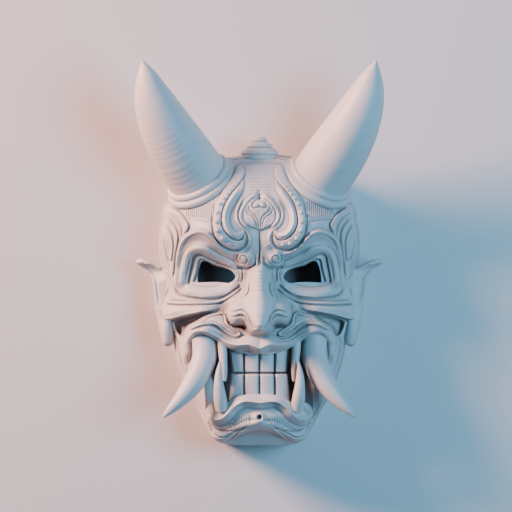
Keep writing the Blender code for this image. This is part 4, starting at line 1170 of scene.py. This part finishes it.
# How far out the forehead ribs reach, by v
FOREHEAD_REACH = ((48, 10.0), (52, 11.2), (58, 11.8), (63, 11.6), (69, 12.5))
FOREHEAD_PITCH = 2.3
FOREHEAD_SAG = 0.5
FOREHEAD_HALF = 12


def forehead_ribs():
    """Level ribs across the forehead, from one stud band to the other."""
    runs = []
    for v in np.arange(47.4, 69, FOREHEAD_PITCH):
        reach = np.interp(v, *np.array(FOREHEAD_REACH).T)
        runs.append(np.array([(u, v - FOREHEAD_SAG * (u / FOREHEAD_HALF) ** 2)
                              for u in np.linspace(-reach, reach, 29)]))
    return runs


CHIN_RIB_TOP = ((6, -122.6), (8, -122.8), (11, -124.6), (15, -127), (20, -130.3), (23, -132.6), (26, -134.2),
                (30, -134.6), (33, -133.8))
CHIN_RIB_FOOT = ((6, -132.6), (8, -133.4), (12, -134.8), (16, -136.2), (20, -137.4), (24, -137.8),
                 (28, -137.7), (32, -137.2), (35, -136.2))


CHIN_RIB_BOW = 2.2


def chin_ribs():
    """Bowed ribs from under the lower lip down to the crease of the chin."""
    runs = []
    for u in np.arange(7.2, 29, 2.0):
        top, foot = across(CHIN_RIB_TOP, u) - 1.3, across(CHIN_RIB_FOOT, u)
        bow = CHIN_RIB_BOW * (1 - (u - 6) / 40)
        runs.append(np.array([(u + bow * sin(pi * t * 0.9) - 0.6 * t, top + (foot - top) * t)
                              for t in np.linspace(0.04, 0.96, 10)]))
    return runs


def jaw_ribs():
    """Slanting ribs down the panel between the jaw's groove and the tusk."""
    runs = []
    for v in np.arange(-68, -92, -2.1):
        outer = np.interp(v, (-96, -86, -80, -75, -65), (57.2, 60, 61.3, 62.5, 64)) - 0.4
        inner = np.interp(v, (-96, -88, -80, -72, -66), (56, 56.4, 57.4, 58.2, 58.2)) + 0.3
        runs.append(np.array([(outer + (inner - outer) * t, v + 1.2 - 4.2 * t)
                              for t in np.linspace(0, 1, 8)]))
    return runs


SCROLL_RIB_CENTRE = (12.8, -3.8)
SCROLL_RIB_STRETCH = 1.02
SCROLL_RIB_LEAST_U = 1.4
SCROLL_RIB_LEAST_V = -11.0


def scroll_ribs():
    """Bowed ribs that fan round the inner side of each scroll."""
    runs = []
    middle_u, middle_v = SCROLL_RIB_CENTRE
    for reach in np.arange(6.3, 12.6, 1.5):
        angles = np.radians(np.linspace(112, 236, 18))
        run = np.array([(middle_u + reach * cos(a), middle_v + SCROLL_RIB_STRETCH * reach * sin(a))
                        for a in angles])
        runs.append(run[(run[:, 0] > SCROLL_RIB_LEAST_U) & (run[:, 1] > SCROLL_RIB_LEAST_V)])
    return [run for run in runs if len(run) > 4]


def nose_ribs():
    """Wrinkles across the bridge of the nose, the upper ones bent up to each side and the lower ones down."""
    runs = []
    for v, reach, lift in ((-13.8, 9.5, 2.2), (-16.4, 9, 1.6), (-19, 8.2, 0.4), (-21.8, 7.8, -1.4),
                           (-24.8, 7.2, -2.2), (-27.8, 6.6, -2.2)):
        runs.append(np.array([(u, v + lift * (u / reach) ** 2) for u in np.linspace(-reach, reach, 19)]))
    return runs


def leaf_ribs():
    """Fine upright lines in the leaf at each temple."""
    return [np.array([(75.6 - 0.9 * i - 0.05 * (v - 18) * (0.6 - 0.12 * i), v)
                      for v in np.linspace(16 - i, 0, 16)]) for i in range(6)]


# The place and the size of each stud up the band
STUDS = ((18.2, 7.0, 2.6), (23.9, 7.9, 3.2), (28.9, 11.8, 3.5), (32.3, 18.1, 3.5), (33.0, 24.7, 3.5),
         (32.6, 31.9, 3.3), (30.4, 38.8, 3.0), (27.6, 43, 2.6), (24.8, 46.6, 2.2), (22.4, 49.6, 1.9),
         (20.3, 52.6, 1.6))
LIP_BEADS_LINE = ((5.5, -122.3), (9, -123.4), (13, -125.7), (17, -128.3), (21.5, -131.3))
LIP_BEAD_SPACING = 1.7
LIP_BEAD_SIZE = 1.15
BEAD_SINK = 0.02
BEAD_RADIUS = 1.15


def beads_object(name, beads):
    """Single points on both halves. A bead of size 2 has the tree's own radius."""
    points = np.array([bead[:2] for bead in beads], float)
    spots = on_skin(points, 0.0)
    spots[:, 2] -= BEAD_SINK * np.array([bead[2] for bead in beads])
    both = np.concatenate([spots, spots * (-1, 1, 1)])
    return carrier_object(name, both, [], np.tile([bead[2] / 2 for bead in beads], 2))


# Materials

def resin_grain_group():
    """Fine grain and build lines of cast resin: a mask that changes the colour, and a height for a bump."""
    group = bpy.data.node_groups.new("resin_grain", "ShaderNodeTree")
    for word, value in (("Grain Scale", 900.0), ("Cloud Scale", 28.0), ("Line Pitch", 0.0008),
                        ("Line Depth", 0.3)):
        socket = group.interface.new_socket(word, in_out="INPUT", socket_type="NodeSocketFloat")
        socket.default_value = value
    for word in ("Clouds", "Height"):
        group.interface.new_socket(word, in_out="OUTPUT", socket_type="NodeSocketFloat")
    given, out = add(group, "NodeGroupInput"), add(group, "NodeGroupOutput")
    place = add(group, "ShaderNodeTexCoord")
    grain = add(group, "ShaderNodeTexNoise")
    clouds = add(group, "ShaderNodeTexNoise", [("Detail", 3)])
    split = add(group, "ShaderNodeSeparateXYZ")
    turns = add(group, "ShaderNodeMath", operation="DIVIDE")
    wave = add(group, "ShaderNodeMath", operation="SINE")
    depth = add(group, "ShaderNodeMath", operation="MULTIPLY")
    total = add(group, "ShaderNodeMath", operation="ADD")
    wire(group, (place, "Object", grain, "Vector"), (place, "Object", clouds, "Vector"),
         (place, "Object", split, "Vector"), (given, "Grain Scale", grain, "Scale"),
         (given, "Cloud Scale", clouds, "Scale"), (split, "Y", turns, 0), (given, "Line Pitch", turns, 1),
         (turns, "Value", wave, 0), (wave, "Value", depth, 0), (given, "Line Depth", depth, 1),
         (depth, "Value", total, 0), (grain, "Fac", total, 1), (clouds, "Fac", out, "Clouds"),
         (total, "Value", out, "Height"))
    return group


RESIN_GLOSS = 0.42
# How far the painted shade in grooves and hollows goes towards the dark colour
PAINTED_SHADE_STRENGTH = 0.62
ROUGHNESS_SPREAD = 0.06
GRAIN_STRENGTH = 0.22
GRAIN_DEPTH = 0.00012


def resin(name, pale, painted_shade_colour, roughness, line_depth, grain_group):
    """Matte cast resin, with shade painted a little darker into its grooves and hollows where the part
    carries the attribute that marks them.
    """
    made = bpy.data.materials.new(name)
    made.use_nodes = True
    tree = made.node_tree
    shader = tree.nodes["Principled BSDF"]
    shader.inputs["Metallic"].default_value = 0.0
    shader.inputs["Specular IOR Level"].default_value = RESIN_GLOSS
    grain = add(tree, "ShaderNodeGroup", [("Line Depth", line_depth)], node_tree=grain_group)
    painted_hollow_shade = add(tree, "ShaderNodeAttribute", attribute_name="painted_hollow_shade")
    span = add(tree, "ShaderNodeMapRange", [("To Max", PAINTED_SHADE_STRENGTH)])
    tone = add(tree, "ShaderNodeMix", [("A", (*[pale * c for c in (1.0, 0.995, 0.99)], 1)),
                                       ("B", (*[pale * 0.93 * c for c in (0.99, 0.995, 1.0)], 1))],
               data_type="RGBA")
    # Painted shade: the dark brown is mixed into grooves and hollows, as far as the attribute that marks them
    # says
    shade = add(tree, "ShaderNodeMix", [("B", (*painted_shade_colour, 1))], data_type="RGBA")
    rough = add(tree, "ShaderNodeMapRange", [("To Min", roughness - ROUGHNESS_SPREAD),
                                             ("To Max", roughness + ROUGHNESS_SPREAD)])
    bump = add(tree, "ShaderNodeBump", [("Strength", GRAIN_STRENGTH), ("Distance", GRAIN_DEPTH)])
    wire(tree, (grain, "Clouds", tone, "Factor"), (painted_hollow_shade, "Fac", span, "Value"),
         (span, "Result", shade, "Factor"), (tone, "Result", shade, "A"),
         (shade, "Result", shader, "Base Color"), (grain, "Clouds", rough, "Value"),
         (rough, "Result", shader, "Roughness"), (grain, "Height", bump, "Height"),
         (bump, "Normal", shader, "Normal"))
    return made


# How many rounds of smoothing find a hollow for the painted shade, and the depth in millimetres at which it
# counts in full
HOLLOW_SIZES = ((3, 0.20), (14, 1.1))
HOLLOW_HOLD = 0.3


def mark_painted_hollow_shade(made):
    """Stores how deep each point lies in a groove or hollow, from 0 to 1, measured square to the surface, as
    the mask for painted shade.
    """
    mesh = made.data
    count = len(mesh.vertices)
    spots, normals = np.empty(count * 3, np.float32), np.empty(count * 3, np.float32)
    mesh.vertices.foreach_get("co", spots)
    mesh.vertices.foreach_get("normal", normals)
    spots, normals = spots.reshape(-1, 3) / MM, normals.reshape(-1, 3)
    ends = np.empty(len(mesh.edges) * 2, np.int32)
    mesh.edges.foreach_get("vertices", ends)
    a, b = ends.reshape(-1, 2).T
    meeting = np.maximum(np.bincount(a, minlength=count) + np.bincount(b, minlength=count), 1)
    depth = np.zeros(count)
    for passes, full in HOLLOW_SIZES:
        level = spots.astype(float)
        for _ in range(passes):
            total = [np.bincount(a, line[b], count) + np.bincount(b, line[a], count) for line in level.T]
            level = HOLLOW_HOLD * level + (1 - HOLLOW_HOLD) * np.stack(total, 1) / meeting[:, None]
        depth = np.maximum(depth, ((level - spots) * normals).sum(1) / full)
    depth = np.clip(depth, 0, 1).astype(np.float32)
    mesh.attributes.new("painted_hollow_shade", "FLOAT", "POINT").data.foreach_set("value", depth)


def coat(made, material):
    made.data.materials.clear()
    made.data.materials.append(material)


def soft_light(name, place, aim, size, watts, colour):
    data = bpy.data.lights.new(name, "AREA")
    data.shape = "DISK"
    data.size = size
    data.energy = watts
    data.color = colour
    made = put_in_scene(name, data)
    made.location = place
    made.rotation_euler = (Vector(aim) - Vector(place)).to_track_quat("-Z", "Y").to_euler()


# Building

grain_group = resin_grain_group()
# The colour triple of each resin is painted shade for grooves and hollows; only the face skin carries the
# marks for it
face_resin = resin("face_resin", 0.45, (0.20, 0.135, 0.11), 0.52, 0.35, grain_group)
horn_resin = resin("horn_resin", 0.47, (0.24, 0.20, 0.19), 0.50, 0.15, grain_group)
tusk_resin = resin("tusk_resin", 0.47, (0.24, 0.20, 0.19), 0.48, 0.10, grain_group)

face_parts = [face_skin(), knob()]
# Marks the face skin's grooves and hollows for painted shade
mark_painted_hollow_shade(face_parts[0])
for word, side in SIDES:
    face_parts += [collar(word + "_collar", side), ear(word + "_ear", side)]
    for row, teeth in (("upper", UPPER_TEETH), ("lower", LOWER_TEETH)):
        face_parts += [tooth(f"{word}_{row}_tooth_{i + 1}", corners, side, row)
                       for i, corners in enumerate(teeth)]
    face_parts += [round_tooth(word + "_upper_fang", UPPER_FANG, side, FANG_SIDES),
                   round_tooth(word + "_lower_fang", LOWER_FANG, side, FANG_SIDES)]
ribs = rib_tree()
one_side = (("collar_ribs", collar_ribs(), 0.85, 0.0), ("chin_ribs", chin_ribs(), 0.85, 0.0),
            ("jaw_ribs", jaw_ribs(), 0.85, 0.1), ("scroll_ribs", scroll_ribs(), 0.75, 0.05),
            ("leaf_lines", leaf_ribs(), 0.4, 0.15))
rows = [(name, both_sides([on_skin(run, sink) for run in runs]), radius, 0.2)
        for name, runs, radius, sink in one_side]
rows += [("forehead_ribs", [on_skin(run, 0.5) for run in forehead_ribs()], 1.0, 0.2),
         ("nose_wrinkles", [on_skin(run, 0.5) for run in nose_ribs()], 0.9, 0.45)]
for name, runs, radius, taper in rows:
    strands = strands_object(name, runs, taper)
    face_parts.append(grown(strands, ribs, Radius=radius * MM, Sides=10, Material=face_resin))
beads = bead_tree()
lip_line = smooth_line(LIP_BEADS_LINE, LIP_BEAD_SPACING)
for name, row in (("brow_studs", STUDS), ("lip_beads", [(u, v, LIP_BEAD_SIZE) for u, v in lip_line])):
    points = beads_object(name, row)
    face_parts.append(grown(points, beads, Radius=BEAD_RADIUS * MM, Rings=10, Material=face_resin))
for piece in face_parts:
    coat(piece, face_resin)
    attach(piece, "root")
    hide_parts("mask_face")
for word, side in SIDES:
    horn_skin = horn(word + "_horn_skin", side)
    tusk_skin = round_tooth(word + "_tusk_skin", TUSK, side, TUSK_SIDES)
    for kind, piece, material in (("horn", horn_skin, horn_resin), ("tusk", tusk_skin, tusk_resin)):
        coat(piece, material)
        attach(piece, "root")
        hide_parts(f"{word}_{kind}")

# Floor, lights and camera

FLOOR_HALF = 3.0
floor_mesh = bpy.data.meshes.new("floor")
floor_corners = [(x * FLOOR_HALF, y * FLOOR_HALF, 0) for x, y in ((-1, -1), (1, -1), (1, 1), (-1, 1))]
floor_mesh.from_pydata(floor_corners, [], [(0, 1, 2, 3)])
floor_paint = bpy.data.materials.new("floor_paint")
floor_paint.use_nodes = True
floor_shader = floor_paint.node_tree.nodes["Principled BSDF"]
floor_shader.inputs["Base Color"].default_value = (0.52, 0.52, 0.52, 1)
floor_shader.inputs["Roughness"].default_value = 0.8
floor_mesh.materials.append(floor_paint)
put_in_scene("floor", floor_mesh)

soft_light("warm_key", (-1.56, 0.90, 0.63), (0, 0, 0.05), 0.7, 190, (1.0, 0.53, 0.42))
soft_light("cool_side", (0.85, 0.10, 1.25), (0, 0, 0.05), 0.8, 30, (0.26, 0.66, 1.0))
soft_light("cool_rim", (0.4, 1.7, 0.30), (0, 0, 0.05), 0.5, 4, (0.3, 0.6, 1.0))
world = bpy.data.worlds.new("studio")
world.use_nodes = True
world.node_tree.nodes["Background"].inputs["Color"].default_value = (0.45, 0.65, 1.0, 1)
world.node_tree.nodes["Background"].inputs["Strength"].default_value = 0.07
bpy.context.scene.world = world

# The photo shows 399.4 mm across at the face's height. Its middle is a little left of and below the face's
VIEW_WIDTH = 0.3994
VIEW_MIDDLE = (-0.0026, -0.0018)
VIEW_HEIGHT = 0.060
CAMERA_DISTANCE = 3.0
SENSOR_WIDTH = 36.0
camera_data = bpy.data.cameras.new("camera")
camera_data.sensor_width = SENSOR_WIDTH
camera_data.lens = SENSOR_WIDTH * CAMERA_DISTANCE / VIEW_WIDTH
camera = put_in_scene("camera", camera_data)
camera.location = (*VIEW_MIDDLE, VIEW_HEIGHT + CAMERA_DISTANCE)
bpy.context.scene.camera = camera

bpy.context.view_layer.update()
